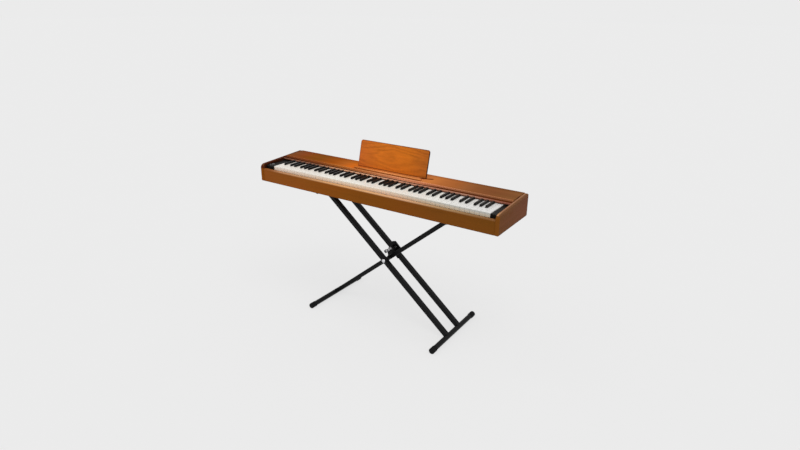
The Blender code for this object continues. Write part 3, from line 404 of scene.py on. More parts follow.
def wood(name, slot, base, shift, lengthwise="X", figure=None, depth=0.3, gloss=0.38, shine=0.05, marks=()):
    """Stained veneer under satin lacquer, its grain along one axis.

    base gives the stain, graded along an axis; on the case, lid, strip, ledge and rest that grading
    is also painted light, brighter where the light falls.  Long streaks, growth rings, fibres and pores
    darken or lighten it, and each of marks gives a share and a tone, laid over it in turn.
    """

    def along(length, width):
        return stretched([length if way == lengthwise else width for way in "XYZ"], shift)

    streak = noise(along(1.1, 46.0), detail=5.0, roughness=0.6)
    sweep = noise(along(2.2, 9.0), detail=3.0)
    fibre = noise(along(8.0, 640.0), detail=6.0, roughness=0.7)
    line = noise(along(3.0, 210.0), detail=3.0, roughness=0.6)
    pores = noise(along(30.0, 1500.0), detail=2.0).between(0.6, 0.72)
    rings = figure() if figure else noise(along(1.8, 26.0), detail=4.0, distortion=1.2)
    grain = streak * 0.3 + rings * 0.3 + sweep * 0.2 + line * 0.2 + (fibre - 0.5) * 0.25
    shade = 1.0 + (grain - 0.5) * (depth * 4.0)
    grey = Node("CombineColor", {}, shade, shade, shade)
    colour = mix(1.0, graded(*base), grey, "MULTIPLY")
    hue = mix(sweep.between(0.38, 0.62), (0.98, 1.02, 0.98, 1.0), (1.025, 0.98, 1.03, 1.0))
    colour = mix(1.0, colour, hue, "MULTIPLY")
    deep = mix(1.0, colour, (0.42, 0.34, 0.28, 1.0), "MULTIPLY")
    colour = mix(pores * 0.4 + grain.between(0.46, 0.3) * 0.35, colour, deep)
    for mark in marks:
        share, shown = mark()
        colour = mix(share, colour, shown)
    return Finish(
        name, slot,
        Base_Color=colour,
        Roughness=gloss + fibre * 0.1 + sweep * 0.08 - 0.05,
        Normal=bump(fibre * 0.6 - pores * 0.8 + streak * 0.4, 0.00012, 0.5),
        Specular_IOR_Level=shine,
    )


def arches():
    """Flat-sawn figure: growth rings cut as nested arches, the lines of a square plus a slope."""
    drift = noise(stretched((5.0, 5.0, 22.0), REST_SHIFT), detail=4.0, roughness=0.6)
    height = (axis("Z") - (REST_TOP + LID_TOP) / 2) * 15.0
    slope = abs(axis("X") - REST_MIDDLE) * 7.0
    rings = height * height * 2.6 + slope + drift * 3.4
    return (rings * 6.5).maths("SINE") * 0.32 + 0.5


def lid_back():
    """The lid's rear border, a little darker."""
    return rise("Y", CASE_BACK, -0.04, -0.008) * 0.3, (92, 52, 30)


def lid_shade():
    """Shade on the lid: in front of the ledge, in the slot, and at the treble end of the rest's foot."""
    inside = rise("X", LEDGE_LOW[0], -0.002, 0.01)
    inside = inside * rise("X", LEDGE_HIGH[0], 0.002, -0.01)
    ahead = rise("Y", LEDGE_LOW[1], 0.002, -0.002) * 0.6
    end = REST_MIDDLE + REST_HALF
    beside = rise("X", end, -0.032, -0.02) * rise("X", end, 0.04, 0.028)
    away = axis("Y") - REST_FOOT - (axis("X") - end) * 0.4
    foot = beside * away.between(-0.0135, -0.0095) * away.between(0.005, 0.001)
    near = abs(axis("Y") - REST_FOOT).between(0.012, 0.01)
    foot = foot | near * rise("Z", LID_TOP, -0.0004, -0.001)
    return inside * ahead | foot, mix(foot, (136, 70, 26), (84, 20, 0))


def ledge_painted_light():
    """The ledge: painted shade on its face and behind the painted highlight of its upper corner."""
    face = rise("Z", LEDGE_HIGH[2], -0.0036, -0.005)
    behind = rise("Y", LEDGE_LOW[1], 0.0026, 0.004)
    return face | behind, mix(behind, (168, 94, 38), (106, 44, 2))


def lid_edge_painted_light():
    """The lid's front edge: a painted highlight on its upper corner, and painted shade next to the strip."""
    light = graded(
        "X", (-0.66, 150, 84, 50), (-0.42, 164, 92, 48), (-0.28, 200, 122, 56), (-0.1, 216, 142, 88),
        (0.1, 246, 172, 126), (0.28, 222, 142, 100), (0.45, 182, 122, 84), (0.66, 168, 108, 70),
    )
    lit = rise("Z", STRIP_TOP, 0.0004, 0.0016)
    return rise("Y", LID_FRONT, 0.005, 0.0025) * 0.9, mix(lit, (104, 50, 16), light)


def strip_edge_painted_light():
    """The strip: painted shade near the lid, with a painted highlight along its upper front corner.

    Away from the treble end the highlight lies lower, and the painted shade stops short of the lid, leaving
    painted light on the back of the strip's top.
    """
    lower = axis("X").between(0.3, 0.18)
    height = (axis("Z") + lower * 0.0004).between(STRIP_TOP - 0.0056, STRIP_TOP - 0.0046)
    ahead = (axis("Y") + lower * 0.0028).between(STRIP_FRONT + 0.0055, STRIP_FRONT + 0.0035)
    behind = rise("Y", STRIP_FRONT, 0.0125, 0.015) * lower
    # Painted light on the back of the strip's top, graded along X as on the lid's edge.
    rear = graded(
        "X", (-0.66, 122, 66, 36), (-0.42, 150, 84, 46), (-0.28, 184, 112, 56), (-0.1, 210, 142, 92),
        (0.1, 250, 174, 130), (0.2, 236, 162, 120),
    )
    dark = mix(behind, mix(lower, (96, 46, 18), (48, 12, 0)), rear)
    light = graded(
        "X", (-0.66, 146, 98, 78), (-0.42, 166, 116, 90), (-0.3, 244, 178, 134), (-0.1, 255, 196, 156),
        (0.08, 240, 174, 140), (0.28, 194, 132, 106), (0.45, 186, 138, 114), (0.58, 164, 104, 84),
        (0.66, 150, 92, 74),
    )
    return height, mix(ahead, dark, light)


def panel_edge_highlight():
    """The front panel's upper edge: a painted highlight that fades into its face."""
    light = graded(
        "X", (-0.66, 140, 80, 36), (-0.6, 150, 90, 46), (-0.54, 184, 132, 92), (-0.4, 190, 142, 100),
        (-0.14, 220, 164, 110), (0.06, 222, 170, 122), (0.2, 216, 166, 126), (0.38, 178, 140, 100),
        (0.52, 150, 114, 76), (0.66, 130, 84, 46),
    )
    return rise("Z", PANEL_TOP, -0.008, -0.001), light


def panel_foot():
    """The front panel's lower edge, shaded."""
    return rise("Z", CASE_FLOOR, 0.003, 0.001) * 0.6, (78, 44, 24)


def rest_border_and_shade():
    """The rest's side and top borders, darker, with painted shade along its foot and deeper painted shade on
    its treble side.
    """
    across = axis("X") - REST_MIDDLE
    border = abs(across).between(REST_HALF - 0.0045, REST_HALF - 0.0018)
    border = border | rise("Z", REST_TOP, -0.0036, -0.0016)
    border = (border | rise("Z", LID_TOP, 0.0055, 0.002)) * 0.8
    side = across.between(REST_HALF - 0.0032, REST_HALF - 0.0012)
    return border | side, mix(side, (104, 56, 20), (58, 24, 6))


def above_slope():
    """Height over the cheeks' sloping upper edge, below 0 inside them."""
    slope = (CHEEK_BACK_TOP - CHEEK_FRONT_TOP) / (CASE_BACK - CASE_FRONT)
    return axis("Z") - (axis("Y") - CASE_FRONT) * slope - CHEEK_FRONT_TOP


def at_bass():
    return axis("X").between(0.1, -0.1)


def cheek_crown_light():
    """The treble cheek's rounded upper edge: painted light on its top, a band on its inner half that follows
    its slope and grows lighter towards the front.
    """
    front = rise("Y", CASE_FRONT, 0.05, 0.015)
    inner = rise("X", INNER_HALF, 0.0125, 0.0075)
    shown = mix(inner, (116, 78, 50), mix(front, (160, 114, 84), (194, 142, 98)))
    return above_slope().between(-0.0052, -0.0026) * axis("X").between(-0.1, 0.1), shown


def cheek_nose():
    """The cheeks' front edge, stained as the front panel is."""
    shown = graded("X", (-0.6738, 96, 56, 22), (-0.669, 136, 74, 18), (0.6738, 122, 72, 24))
    upper = at_bass() * rise("Z", PANEL_TOP, -0.002, 0.006)
    shown = mix(upper, shown, (84, 34, 16))
    return rise("Y", CASE_FRONT, 0.004, 0.001), shown


def cheek_inside():
    """The cheeks' inner faces, dark behind the front panel."""
    inner = abs(axis("X")).between(INNER_HALF + 0.003, INNER_HALF + 0.0012)
    behind = rise("Y", CASE_FRONT, 0.004, 0.008)
    upper = at_bass() | axis("Z").between(CHEEK_FRONT_TOP, PANEL_TOP)
    return inner * behind * upper, (66, 30, 16)


def cheek_rim():
    """The cheeks' lower and rear borders, shaded."""
    low = rise("Z", CASE_FLOOR, 0.006, 0.0015)
    back = rise("Y", CASE_BACK, -0.008, -0.003)
    return (low | back) * 0.85, (70, 36, 26)


def cheek_ridge():
    """The bass cheek's upper edge, dark."""
    behind = rise("Y", CASE_FRONT, 0.006, 0.016)
    return above_slope().between(-0.003, -0.0014) * at_bass() * behind, (84, 40, 22)


def key_white(name, slot):
    """Satin white key plastic, faintly toned from key to key and duller where fingers play; painted light makes
    it warmer towards the bass and greyer towards the treble, and a painted reflection of the wood warms the
    lower part of each key's front.
    """
    cloud = noise(PLACE, 9.0, 3.0)
    speck = noise(PLACE, 900.0, 2.0)
    number = ((axis("X") - KEYS_LEFT) / KEY_PITCH).maths("FLOOR")
    key_tone = Node("TexWhiteNoise", {"noise_dimensions": "1D"}, W=number)
    played = 1.0 - rise("Y", KEY_FRONT, 0.01, 0.07)
    colour = mix(cloud * 0.5 + key_tone * 0.5, (243, 239, 227), (248, 245, 237))
    # Painted light: warmer towards the bass, greyer towards the treble.
    colour = mix(axis("X").between(-0.2, -0.4) * 0.8, colour, (238, 229, 218))
    colour = mix(axis("X").between(0.2, 0.6), colour, (228, 226, 224))
    # The key fronts' upper part: painted light along X, greyer towards the treble.
    upper = graded(
        "X", (-0.55, 241, 231, 220), (-0.1, 236, 225, 206), (0.1, 236, 218, 196), (0.3, 210, 207, 196),
        (0.55, 200, 200, 194),
    )
    # The key fronts' lower part: a painted reflection of the wood below them.
    lower = graded(
        "X", (-0.55, 255, 234, 212), (-0.1, 255, 226, 194), (0.1, 252, 216, 186), (0.3, 240, 216, 184),
        (0.55, 236, 222, 198),
    )
    face = mix(rise("Z", KEY_TOP, -0.004, -0.016), upper, lower)
    return Finish(
        name, slot,
        Base_Color=mix(rise("Y", KEY_FRONT, 0.0009, 0.0003), colour, face),
        Roughness=0.2 + speck * 0.08 + played * cloud * 0.16,
        Normal=bump(speck, 0.00001, 0.2),
        Specular_IOR_Level=0.4,
    )


def key_black(name, slot):
    """Satin black key plastic with a fine moulded grain."""
    cloud = noise(PLACE, 14.0, 3.0)
    speck = noise(PLACE, 1400.0, 3.0)
    return Finish(
        name, slot,
        Base_Color=mix(cloud, (12, 11, 10), (20, 18, 17)),
        Roughness=0.32 + speck * 0.12 + cloud * 0.08,
        Normal=bump(speck, 0.00003, 0.35),
        Specular_IOR_Level=0.15,
    )


def moulded(name, slot, dark, light, grain=1100.0, roughness=0.5, shine=0.25):
    """Moulded plastic or rubber with a pebbled skin."""
    cloud = noise(PLACE, 21.0, 4.0)
    pebble = Node("TexVoronoi", {"feature": "SMOOTH_F1"}, Vector=PLACE, Scale=grain)
    scuff = noise(stretched((60.0, 60.0, 400.0)), detail=3.0).between(0.62, 0.75)
    return Finish(
        name, slot,
        Base_Color=mix(cloud * 0.7 + scuff * 0.3, dark, light),
        Roughness=roughness + cloud * 0.12 + scuff * 0.06 - 0.06,
        Normal=bump(pebble, 0.00006, 0.5),
        Specular_IOR_Level=shine,
    )


def painted(name, slot, dark, light):
    """Satin paint baked on steel, with a faint ripple and a few rubbed places."""
    cloud = noise(PLACE, 6.0, 4.0)
    ripple = noise(PLACE, 520.0, 3.0)
    rub = noise(stretched((30.0, 30.0, 30.0)), detail=6.0, roughness=0.7).between(0.66, 0.78)
    return Finish(
        name, slot,
        Base_Color=mix(cloud * 0.6 + rub * 0.4, dark, light),
        Roughness=0.36 + cloud * 0.1 + rub * 0.12,
        Normal=bump(ripple, 0.00004, 0.35),
        Specular_IOR_Level=0.12,
    )


def plated(name, slot, dark, light):
    """Zinc-plated steel with fine turning marks."""
    cloud = noise(PLACE, 90.0, 3.0)
    marks = noise(stretched((300.0, 2600.0, 300.0)), detail=2.0)
    return Finish(
        name, slot,
        Base_Color=mix(cloud, dark, light),
        Metallic=1.0,
        Roughness=0.24 + marks * 0.14 + cloud * 0.08,
        Normal=bump(marks, 0.00003, 0.3),
    )


def felted(name):
    """Pressed felt: a soft nap of fine fibres."""
    nap = noise(PLACE, 1500.0, 6.0, 0.75)
    cloud = noise(PLACE, 60.0, 3.0)
    return Finish(
        name,
        Base_Color=mix(nap * 0.6 + cloud * 0.4, (46, 16, 14), (92, 40, 30)),
        Roughness=0.9 + nap * 0.1,
        Normal=bump(nap, 0.0003, 0.8),
        Specular_IOR_Level=0.1,
    )


def lacquered_board(name):
    """A circuit board: green lacquer over copper tracks on a fine square pattern."""
    tracks = Node(
        "TexBrick", {"offset": 0.5}, Vector=PLACE, Scale=160.0, output="Fac",
        **{"Mortar Size": 0.06},
    )
    chips = rise("Z", BOARD_TOP, 0.0002, 0.0004)
    green = mix(tracks, (16, 74, 38), (40, 116, 60))
    return Finish(
        name,
        Base_Color=mix(chips, green, (24, 24, 26)),
        Roughness=0.35 + chips * 0.2,
        Normal=bump(tracks, 0.00005, 0.5),
    )


# Places taken from the solids

def box_of(node):
    low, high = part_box(node)
    return np.array(low), np.array(high)


def spread_of(node):
    low, high = box_of(node)
    return low, (low + high) / 2, high


def middle_of(node):
    return spread_of(node)[1]


PANEL_LOW, PANEL_HIGH = box_of("front_panel")
KEY_LOW, KEY_HIGH = box_of("key_c4")
SHARP_LOW, SHARP_HIGH = box_of("key_c_sharp4")
STRIP_LOW, STRIP_HIGH = box_of("control_strip")
LID_LOW, LID_HIGH = box_of("lid")
LEDGE_LOW, LEDGE_HIGH = box_of("music_ledge")
REST_LOW, REST_HIGH = box_of("music_rest")
_, CASE_FRONT, CASE_FLOOR = PANEL_LOW
PANEL_TOP = PANEL_HIGH[2]
KEYS_LEFT = box_of("key_frame")[0][0]
_, KEY_FRONT, HEEL_BOTTOM = KEY_LOW
_, KEY_BACK, KEY_TOP = KEY_HIGH
KEY_BOTTOM = HEEL_BOTTOM + 0.012
HEEL_FRONT = KEY_BACK - 0.0137
_, BLACK_FRONT, BLACK_BOTTOM = SHARP_LOW
_, BLACK_BACK, BLACK_TOP = SHARP_HIGH
STRIP_FRONT, STRIP_TOP = STRIP_LOW[1], STRIP_HIGH[2]
LID_FRONT = LID_LOW[1]
INNER_HALF, CASE_BACK, LID_TOP = LID_HIGH
CHEEK_FRONT_TOP = CASE_FLOOR + 0.0885
CHEEK_BACK_TOP = box_of("left_cheek")[1][2]
REST_TOP = REST_HIGH[2]
REST_FOOT = REST_LOW[1] + 0.0054
REST_HALF = (REST_HIGH[0] - REST_LOW[0]) / 2
REST_MIDDLE = (REST_HIGH[0] + REST_LOW[0]) / 2
BOARD_TOP = box_of("main_board")[0][2] + 0.0016
PIVOT = middle_of("pivot_bolt")
FOOT = middle_of("right_foot_tube")
ARM_HALF = math.hypot(FOOT[0] - PIVOT[0], PIVOT[2] - FOOT[2])
ARM_ANGLE = math.atan2(PIVOT[2] - FOOT[2], FOOT[0] - PIVOT[0])

# Each board is cut from its own part of the grain
CASE_SHIFT = (0.3, 1.7, 0.4)
LID_SHIFT = (2.1, 0.2, 5.0)
STRIP_SHIFT = (5.1, 0.2, 5.0)
LEDGE_SHIFT = (3.3, 0.2, 5.0)
REST_SHIFT = (4.4, 2.6, 1.1)
CHEEK_SHIFT = (7.2, 0.9, 3.3)

# The graded stains below also hold painted light: the lid, strip, ledge and rest are brightest near their
# middle, and the case darkens towards the treble.
CASE_WOOD = wood(
    "case veneer", "case_wood",
    ("X", (-0.66, 140, 76, 20), (-0.4, 141, 77, 16), (-0.2, 134, 73, 10), (0.1, 128, 70, 10),
     (0.4, 121, 69, 16), (0.66, 116, 68, 14)),
    CASE_SHIFT, depth=0.16, gloss=0.42, marks=(panel_edge_highlight, panel_foot),
)
LID_WOOD = wood(
    "lid veneer", "lid_wood",
    ("X", (-0.66, 125, 78, 47), (-0.58, 141, 72, 35), (-0.52, 138, 75, 26), (-0.46, 135, 77, 26),
     (-0.41, 150, 78, 26), (-0.35, 165, 83, 24), (-0.29, 180, 99, 37), (-0.23, 211, 110, 32),
     (-0.17, 202, 104, 35), (-0.11, 200, 111, 42), (-0.05, 209, 121, 56), (0.03, 204, 122, 58),
     (0.11, 200, 122, 62), (0.17, 215, 134, 74), (0.23, 206, 126, 62), (0.29, 182, 109, 55),
     (0.35, 168, 100, 50), (0.41, 153, 96, 53), (0.46, 141, 87, 48), (0.52, 134, 82, 47),
     (0.58, 132, 83, 47), (0.66, 136, 89, 52)),
    LID_SHIFT, depth=0.26, shine=0.0, marks=(lid_back, lid_shade, lid_edge_painted_light),
)
STRIP_WOOD = wood(
    "strip veneer", "case_wood",
    ("X", (-0.66, 92, 50, 26), (-0.2, 110, 58, 28), (0.1, 140, 92, 68), (0.66, 112, 72, 54)),
    STRIP_SHIFT, shine=0.0, marks=(strip_edge_painted_light,),
)
# The ledge's bright stain is the painted highlight that its marks leave along its upper corner.
LEDGE_WOOD = wood(
    "ledge veneer", "lid_wood", ("X", (-0.2, 206, 122, 54), (0.0, 250, 168, 100), (0.2, 240, 150, 84)),
    LEDGE_SHIFT, depth=0.2, shine=0.0, marks=(ledge_painted_light,),
)
REST_WOOD = wood(
    "rest veneer", "lid_wood",
    ("X", (-0.21, 199, 105, 38), (-0.08, 211, 116, 32), (0.08, 206, 113, 28), (0.2, 174, 96, 32)),
    REST_SHIFT, figure=arches, depth=0.22, marks=(rest_border_and_shade,),
)
CHEEK_WOOD = wood(
    "cheek veneer", "cheek_wood", ("Y", (-0.19, 111, 70, 40), (0.11, 110, 69, 48)),
    CHEEK_SHIFT, "Y", depth=0.2, gloss=0.45, shine=0.008,
    marks=(cheek_rim, cheek_crown_light, cheek_nose, cheek_inside, cheek_ridge),
)
BACK_WOOD = wood(
    "back veneer", None, ("X", (-0.66, 112, 70, 48), (0.66, 106, 66, 46)), CHEEK_SHIFT, depth=0.2, gloss=0.5,
)
IVORY = key_white("white key plastic", "white_key")
EBONY = key_black("black key plastic", "black_key")
BLOCK_PLASTIC = moulded("block plastic", "black_plastic", (15, 12, 9), (24, 20, 15), shine=0.08)
KNOB_PLASTIC = moulded("knob plastic", "grey_plastic", (70, 70, 70), (104, 104, 104), shine=0.4)
HOUSING_PLASTIC = moulded("housing plastic", "black_plastic", (9, 9, 10), (18, 18, 19), 700.0, 0.45, 0.15)
RUBBER = moulded("end rubber", "rubber", (10, 10, 11), (18, 18, 19), 900.0, 0.72, 0.12)
PAINT = painted("stand paint", "black_paint", (8, 8, 9), (15, 15, 16))
PLATED = plated("plated steel", "steel", (204, 204, 206), (232, 232, 234))
FELT = felted("name felt")
BOARD = lacquered_board("board lacquer")


# Case

def make_boards():
    """The long boards along X, and the finishes of the solids that are shown as they are."""
    for name, node, finish, radii, rim in (
        ("front_board", "front_panel", CASE_WOOD, (0.0012, 0.0012, 0.0022, 0.0028), 0.0008),
        ("strip_board", "control_strip", STRIP_WOOD, (0.001, 0.001, 0.0012, 0.0022), 0.0006),
        ("ledge_bar", "music_ledge", LEDGE_WOOD, (0.0014, 0.0014, 0.0022, 0.0022), 0.001),
    ):
        low, high = box_of(node)
        section = block(low[1], low[2], high[1], high[2], radii)
        show(name, "piano", finish, node, *slab(section, low[0], high[0], rim), **ALONG_X)
    for finish, nodes in (
        (BACK_WOOD, ("bottom_board", "back_panel")), (FELT, ("name_felt",)), (BOARD, ("main_board",)),
        (BLOCK_PLASTIC, ("key_frame", "left_key_block", "right_key_block", "socket_plate")),
        (PAINT, ("lock_plate",)),
    ):
        for node in nodes:
            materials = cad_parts[node].data.materials
            materials.clear()
            materials.append(finish.material)


def make_lid():
    """The lid: a long board whose section dips into the rest's slot between two stations."""
    slant = math.tan(REST_LEAN)
    half = SLOT_HALF / math.cos(REST_LEAN)
    mouth = REST_LOW[1] + 0.0031 / math.cos(REST_LEAN) + 0.009 * slant
    lip, end_fit, end_wall = 0.0004, 0.0003, 0.0002
    corners = block(LID_FRONT, LID_LOW[2], CASE_BACK, LID_TOP, (0.0012, 0.0012, 0.0015, 0.0025))
    after = int(np.argmax((corners[:, 1] > LID_TOP - 1e-6) & (corners[:, 0] < mouth)))
    flat = np.linspace(mouth + half + 0.001, mouth - half - 0.001, 6)
    closed = np.insert(corners, after, raised(flat[:, None], LID_TOP), axis=0)
    opened = np.insert(corners, after, [
        (mouth + half + lip, LID_TOP), (mouth + half, LID_TOP - lip),
        (mouth + half - SLOT_DEPTH * slant, LID_TOP - SLOT_DEPTH),
        (mouth - half - SLOT_DEPTH * slant, LID_TOP - SLOT_DEPTH),
        (mouth - half, LID_TOP - lip), (mouth - half - lip, LID_TOP),
    ], axis=0)
    rings, hubs = slab(closed, LID_LOW[0], LID_HIGH[0], 0.0008)
    middle = len(rings) // 2
    left, right = REST_LOW[0] - end_fit, REST_HIGH[0] + end_fit
    stations = ((closed, left - end_wall), (opened, left), (opened, right), (closed, right + end_wall))
    inner = [raised(section, at) for section, at in stations]
    rings = np.concatenate([rings[:middle], inner, rings[middle:]])
    show("lid_board", "piano", LID_WOOD, "lid", rings, hubs, **ALONG_X)


def make_cheeks():
    """The two cheeks: an outline in Y and Z, through the thickness along X, with softened rims."""
    for node in ("left_cheek", "right_cheek"):
        low, high = box_of(node)
        outline = rounded(
            [(low[1], low[2]), (high[1], low[2]), (high[1], high[2]), (low[1], CHEEK_FRONT_TOP)],
            (0.005, 0.005, 0.009, 0.021), 8,
        )
        skin = slab(outline, low[0], high[0], 0.0035, steps=6)
        show(node + "_board", "piano", CHEEK_WOOD, node, *skin, **ALONG_X)


def make_rest():
    """The music rest: a thin board leaning back, with two round top corners."""
    lean, drop = math.cos(REST_LEAN), math.sin(REST_LEAN)
    half = REST_THICK / 2
    foot = (0.0, REST_LOW[1] + half * lean, REST_LOW[2] + half * drop)
    height = (REST_TOP - foot[2] - half * drop) / lean
    outline = block(REST_LOW[0], 0.0, REST_HIGH[0], height, (0.002, 0.002, 0.012, 0.012), 10)
    turn = {"across": X_WAY, "up": (0.0, drop, lean), "out": (0.0, lean, -drop), "origin": foot}
    show("rest_board", "rest", REST_WOOD, "music_rest", *slab(outline, -half, half, 0.0014), **turn)


# Keys

def pitch_class(note):
    return (note + FIRST_PITCH) % 12


def note_name(note):
    return f"{NOTE_NAMES[pitch_class(note)]}{(note + FIRST_PITCH) // 12}"


def is_black(note):
    return 0 <= note < 88 and pitch_class(note) in BLACK_SHIFT


def whites_before(note):
    return sum(not is_black(other) for other in range(note))


def black_middle(note):
    return KEYS_LEFT + (whites_before(note) + BLACK_SHIFT[pitch_class(note)]) * KEY_PITCH


def white_sides(note):
    """The left and right of a white key's head, and of its tail between its black neighbours."""
    left = KEYS_LEFT + whites_before(note) * KEY_PITCH + KEY_GAP / 2
    right = left + KEY_PITCH - KEY_GAP
    clear = BLACK_WIDTH / 2 + KEY_GAP
    tail_left = black_middle(note - 1) + clear if is_black(note - 1) else left
    tail_right = black_middle(note + 1) - clear if is_black(note + 1) else right
    return left, right, tail_left, tail_right


def white_skin(note):
    """A white key: its plan, notched for its black neighbours, through its thickness."""
    left, right, tail_left, tail_right = white_sides(note)
    notch = BLACK_FRONT - KEY_GAP
    corners = [(left, KEY_FRONT), (right, KEY_FRONT)]
    radii = [0.0013, 0.0013]
    if tail_right < right:
        corners += [(right, notch), (tail_right, notch)]
        radii += [0.0009, 0.0006]
    corners += [(tail_right, KEY_BACK), (tail_left, KEY_BACK)]
    radii += [0.0014, 0.0014]
    if tail_left > left:
        corners += [(tail_left, notch), (left, notch)]
        radii += [0.0006, 0.0009]
    hub = ((tail_left + tail_right) / 2, notch - 0.003)
    return slab(rounded(corners, radii, 4), KEY_BOTTOM, KEY_TOP, 0.0002, 0.001, hub)


def black_skin():
    """A black key about x = 0: sections in X and Z, carried along Y.

    The top rises over the nose as 1 - (1 - s)^3.2, the flanks lean in, and the shank is flat.
    """
    flank = 0.0011
    shank_top = BLACK_BOTTOM + 0.0125
    raised_back = STRIP_FRONT - 0.0015
    share = np.array([0.0, 0.06, 0.16, 0.3, 0.46, 0.64, 0.82, 1.0])
    nose_y = BLACK_FRONT + BLACK_NOSE * share
    nose_top = KEY_TOP + (BLACK_TOP - KEY_TOP) * (1 - (1 - share) ** 3.2)
    pinch = flank * (1 - share) ** 3
    rows = [(y, top, tight, flank) for y, top, tight in zip(nose_y, nose_top, pinch)] + [
        (BLACK_FRONT + 2 * BLACK_NOSE, BLACK_TOP, 0.0, flank),
        (raised_back - 0.0012, BLACK_TOP, 0.0, flank),
        (raised_back - 0.0003, BLACK_TOP - 0.0003, 0.0001, flank),
        (raised_back, BLACK_TOP - 0.0012, 0.0002, flank),
        (raised_back + 0.0001, shank_top, 0.0, 0.0),
        (BLACK_BACK, shank_top, 0.0, 0.0),
    ]
    rings = []
    for y, top, tight, lean in rows:
        low_half = BLACK_WIDTH / 2 - tight
        high_half = low_half - lean
        soft = min(0.0019, (top - BLACK_BOTTOM) * 0.2)
        corners = [(-low_half, BLACK_BOTTOM), (low_half, BLACK_BOTTOM), (low_half, shank_top - 0.001),
                   (high_half, top), (-high_half, top), (-low_half, shank_top - 0.001)]
        rings.append(raised(rounded(corners, (0.0003, 0.0003, 0.0, soft, soft, 0.0)), y)[:, [0, 2, 1]])
    return np.stack(rings)


def make_keys():
    """A piece for each single key and each comb, with the heel or rail that its keys share."""
    black = black_skin()
    for first, last in [(note, note) for note in SINGLE_NOTES] + list(COMB_SECTIONS):
        single = first == last
        span = note_name(first) if single else f"{note_name(first)}_to_{note_name(last)}"
        for dark, name, comb, finish in (
            (False, "ivory", "white_keys", IVORY), (True, "ebony", "black_keys", EBONY),
        ):
            notes = [note for note in range(first, last + 1) if is_black(note) == dark]
            if not notes:
                continue
            node = f"key_{span}" if single else f"{comb}_{span}"
            low, high = box_of(node)
            left, right = low[0] + 0.0005, high[0] - 0.0005
            skins = Skins()
            for note in notes:
                skins.add(*([black + (black_middle(note), 0.0, 0.0)] if dark else white_skin(note)))
            if not dark:
                if single:
                    left, right = white_sides(first)[2] + 0.0004, white_sides(first)[3] - 0.0004
                heel = block(left, HEEL_FRONT, right, KEY_BACK - KEY_FIT, 0.0004)
                skins.add(*slab(heel, HEEL_BOTTOM, KEY_BOTTOM + 0.003, 0.0003))
            elif not single:
                rail = block(left, BLACK_BACK - 0.0115, right, BLACK_BACK - KEY_FIT, 0.0004)
                skins.add(*slab(rail, BLACK_BOTTOM + KEY_FIT, BLACK_BOTTOM + 0.012, 0.0003))
            skins.piece(f"{name}_{span}", node, finish, node)


# Controls, speakers and sockets

def make_controls():
    """The power button, and the volume knob with its 24 flutes, turned about Z."""
    low, middle, high = spread_of("power_button")
    radius = 0.005
    cap = rounded(
        [(0.0, high[2]), (radius, high[2]), (radius, low[2]), (0.0, low[2])], (0, 0.0012, 0.0003, 0), 4, False,
    )
    origin = (middle[0], middle[1], 0.0)
    show("power_cap", "button", KNOB_PLASTIC, "power_button", *lathe(cap, 32), origin=origin)
    low, middle, high = spread_of("volume_knob")
    radius = (high[0] - low[0]) / 2
    stem, skirt = 0.003, high[2] - 0.0082
    profile = closer(rounded(
        [(0.0, high[2]), (radius * 0.92, high[2]), (radius, skirt), (stem, skirt), (stem, low[2]),
         (0.0, low[2])],
        (0, 0.001, 0.0004, 0.0002, 0.0002, 0), 4, False,
    ), 0.0012)
    rings, hubs = lathe(profile, 144)
    wide, tall = profile[1:-1].T
    gripped = (wide > radius * 0.85) & (tall > skirt + 0.001) & (tall < high[2] - 0.001)
    flute = 1.0 - 0.035 * gripped[:, None] * (0.5 + 0.5 * np.cos(24 * angles(144))) ** 2
    rings[:, :, :2] *= flute[:, :, None]
    show("volume_cap", "knob", KNOB_PLASTIC, "volume_knob", rings, hubs, origin=(middle[0], middle[1], 0.0))


def make_speakers():
    """Each loudspeaker: a frame, a cone with a rolled edge, and a dust cap, turned about Z."""
    roll_out, cone_out, dust_out = 0.0345, 0.0285, 0.0105
    for node in ("left_speaker", "right_speaker"):
        low, middle, high = spread_of(node)
        outer = rounded(
            [(0.0, high[2]), (0.02, high[2]), (0.02, high[2] - 0.01), (0.034, high[2] - 0.017),
             (0.036, low[2] + 0.004), (0.045, low[2] + 0.004), (0.045, low[2]), (roll_out, low[2])],
            (0, 0.001, 0.001, 0.002, 0.001, 0.001, 0.0005, 0), 4, False,
        )
        share = np.linspace(0.0, 1.0, 12)
        quarter = share * math.pi / 2
        roll = (roll_out - 0.006 * share, low[2] + 0.0008 + 0.0022 * np.sin(math.pi * share))
        cone = (cone_out - 0.018 * share, low[2] + 0.001 + 0.011 * share ** 0.8)
        dust = (dust_out * np.cos(quarter), low[2] + 0.012 - 0.004 * np.sin(quarter))
        profile = np.concatenate([outer, *(np.stack(part, 1) for part in (roll, cone, dust))])
        origin = (middle[0], middle[1], 0.0)
        show(node + "_unit", "piano", BLOCK_PLASTIC, node, *lathe(profile, 64), origin=origin)


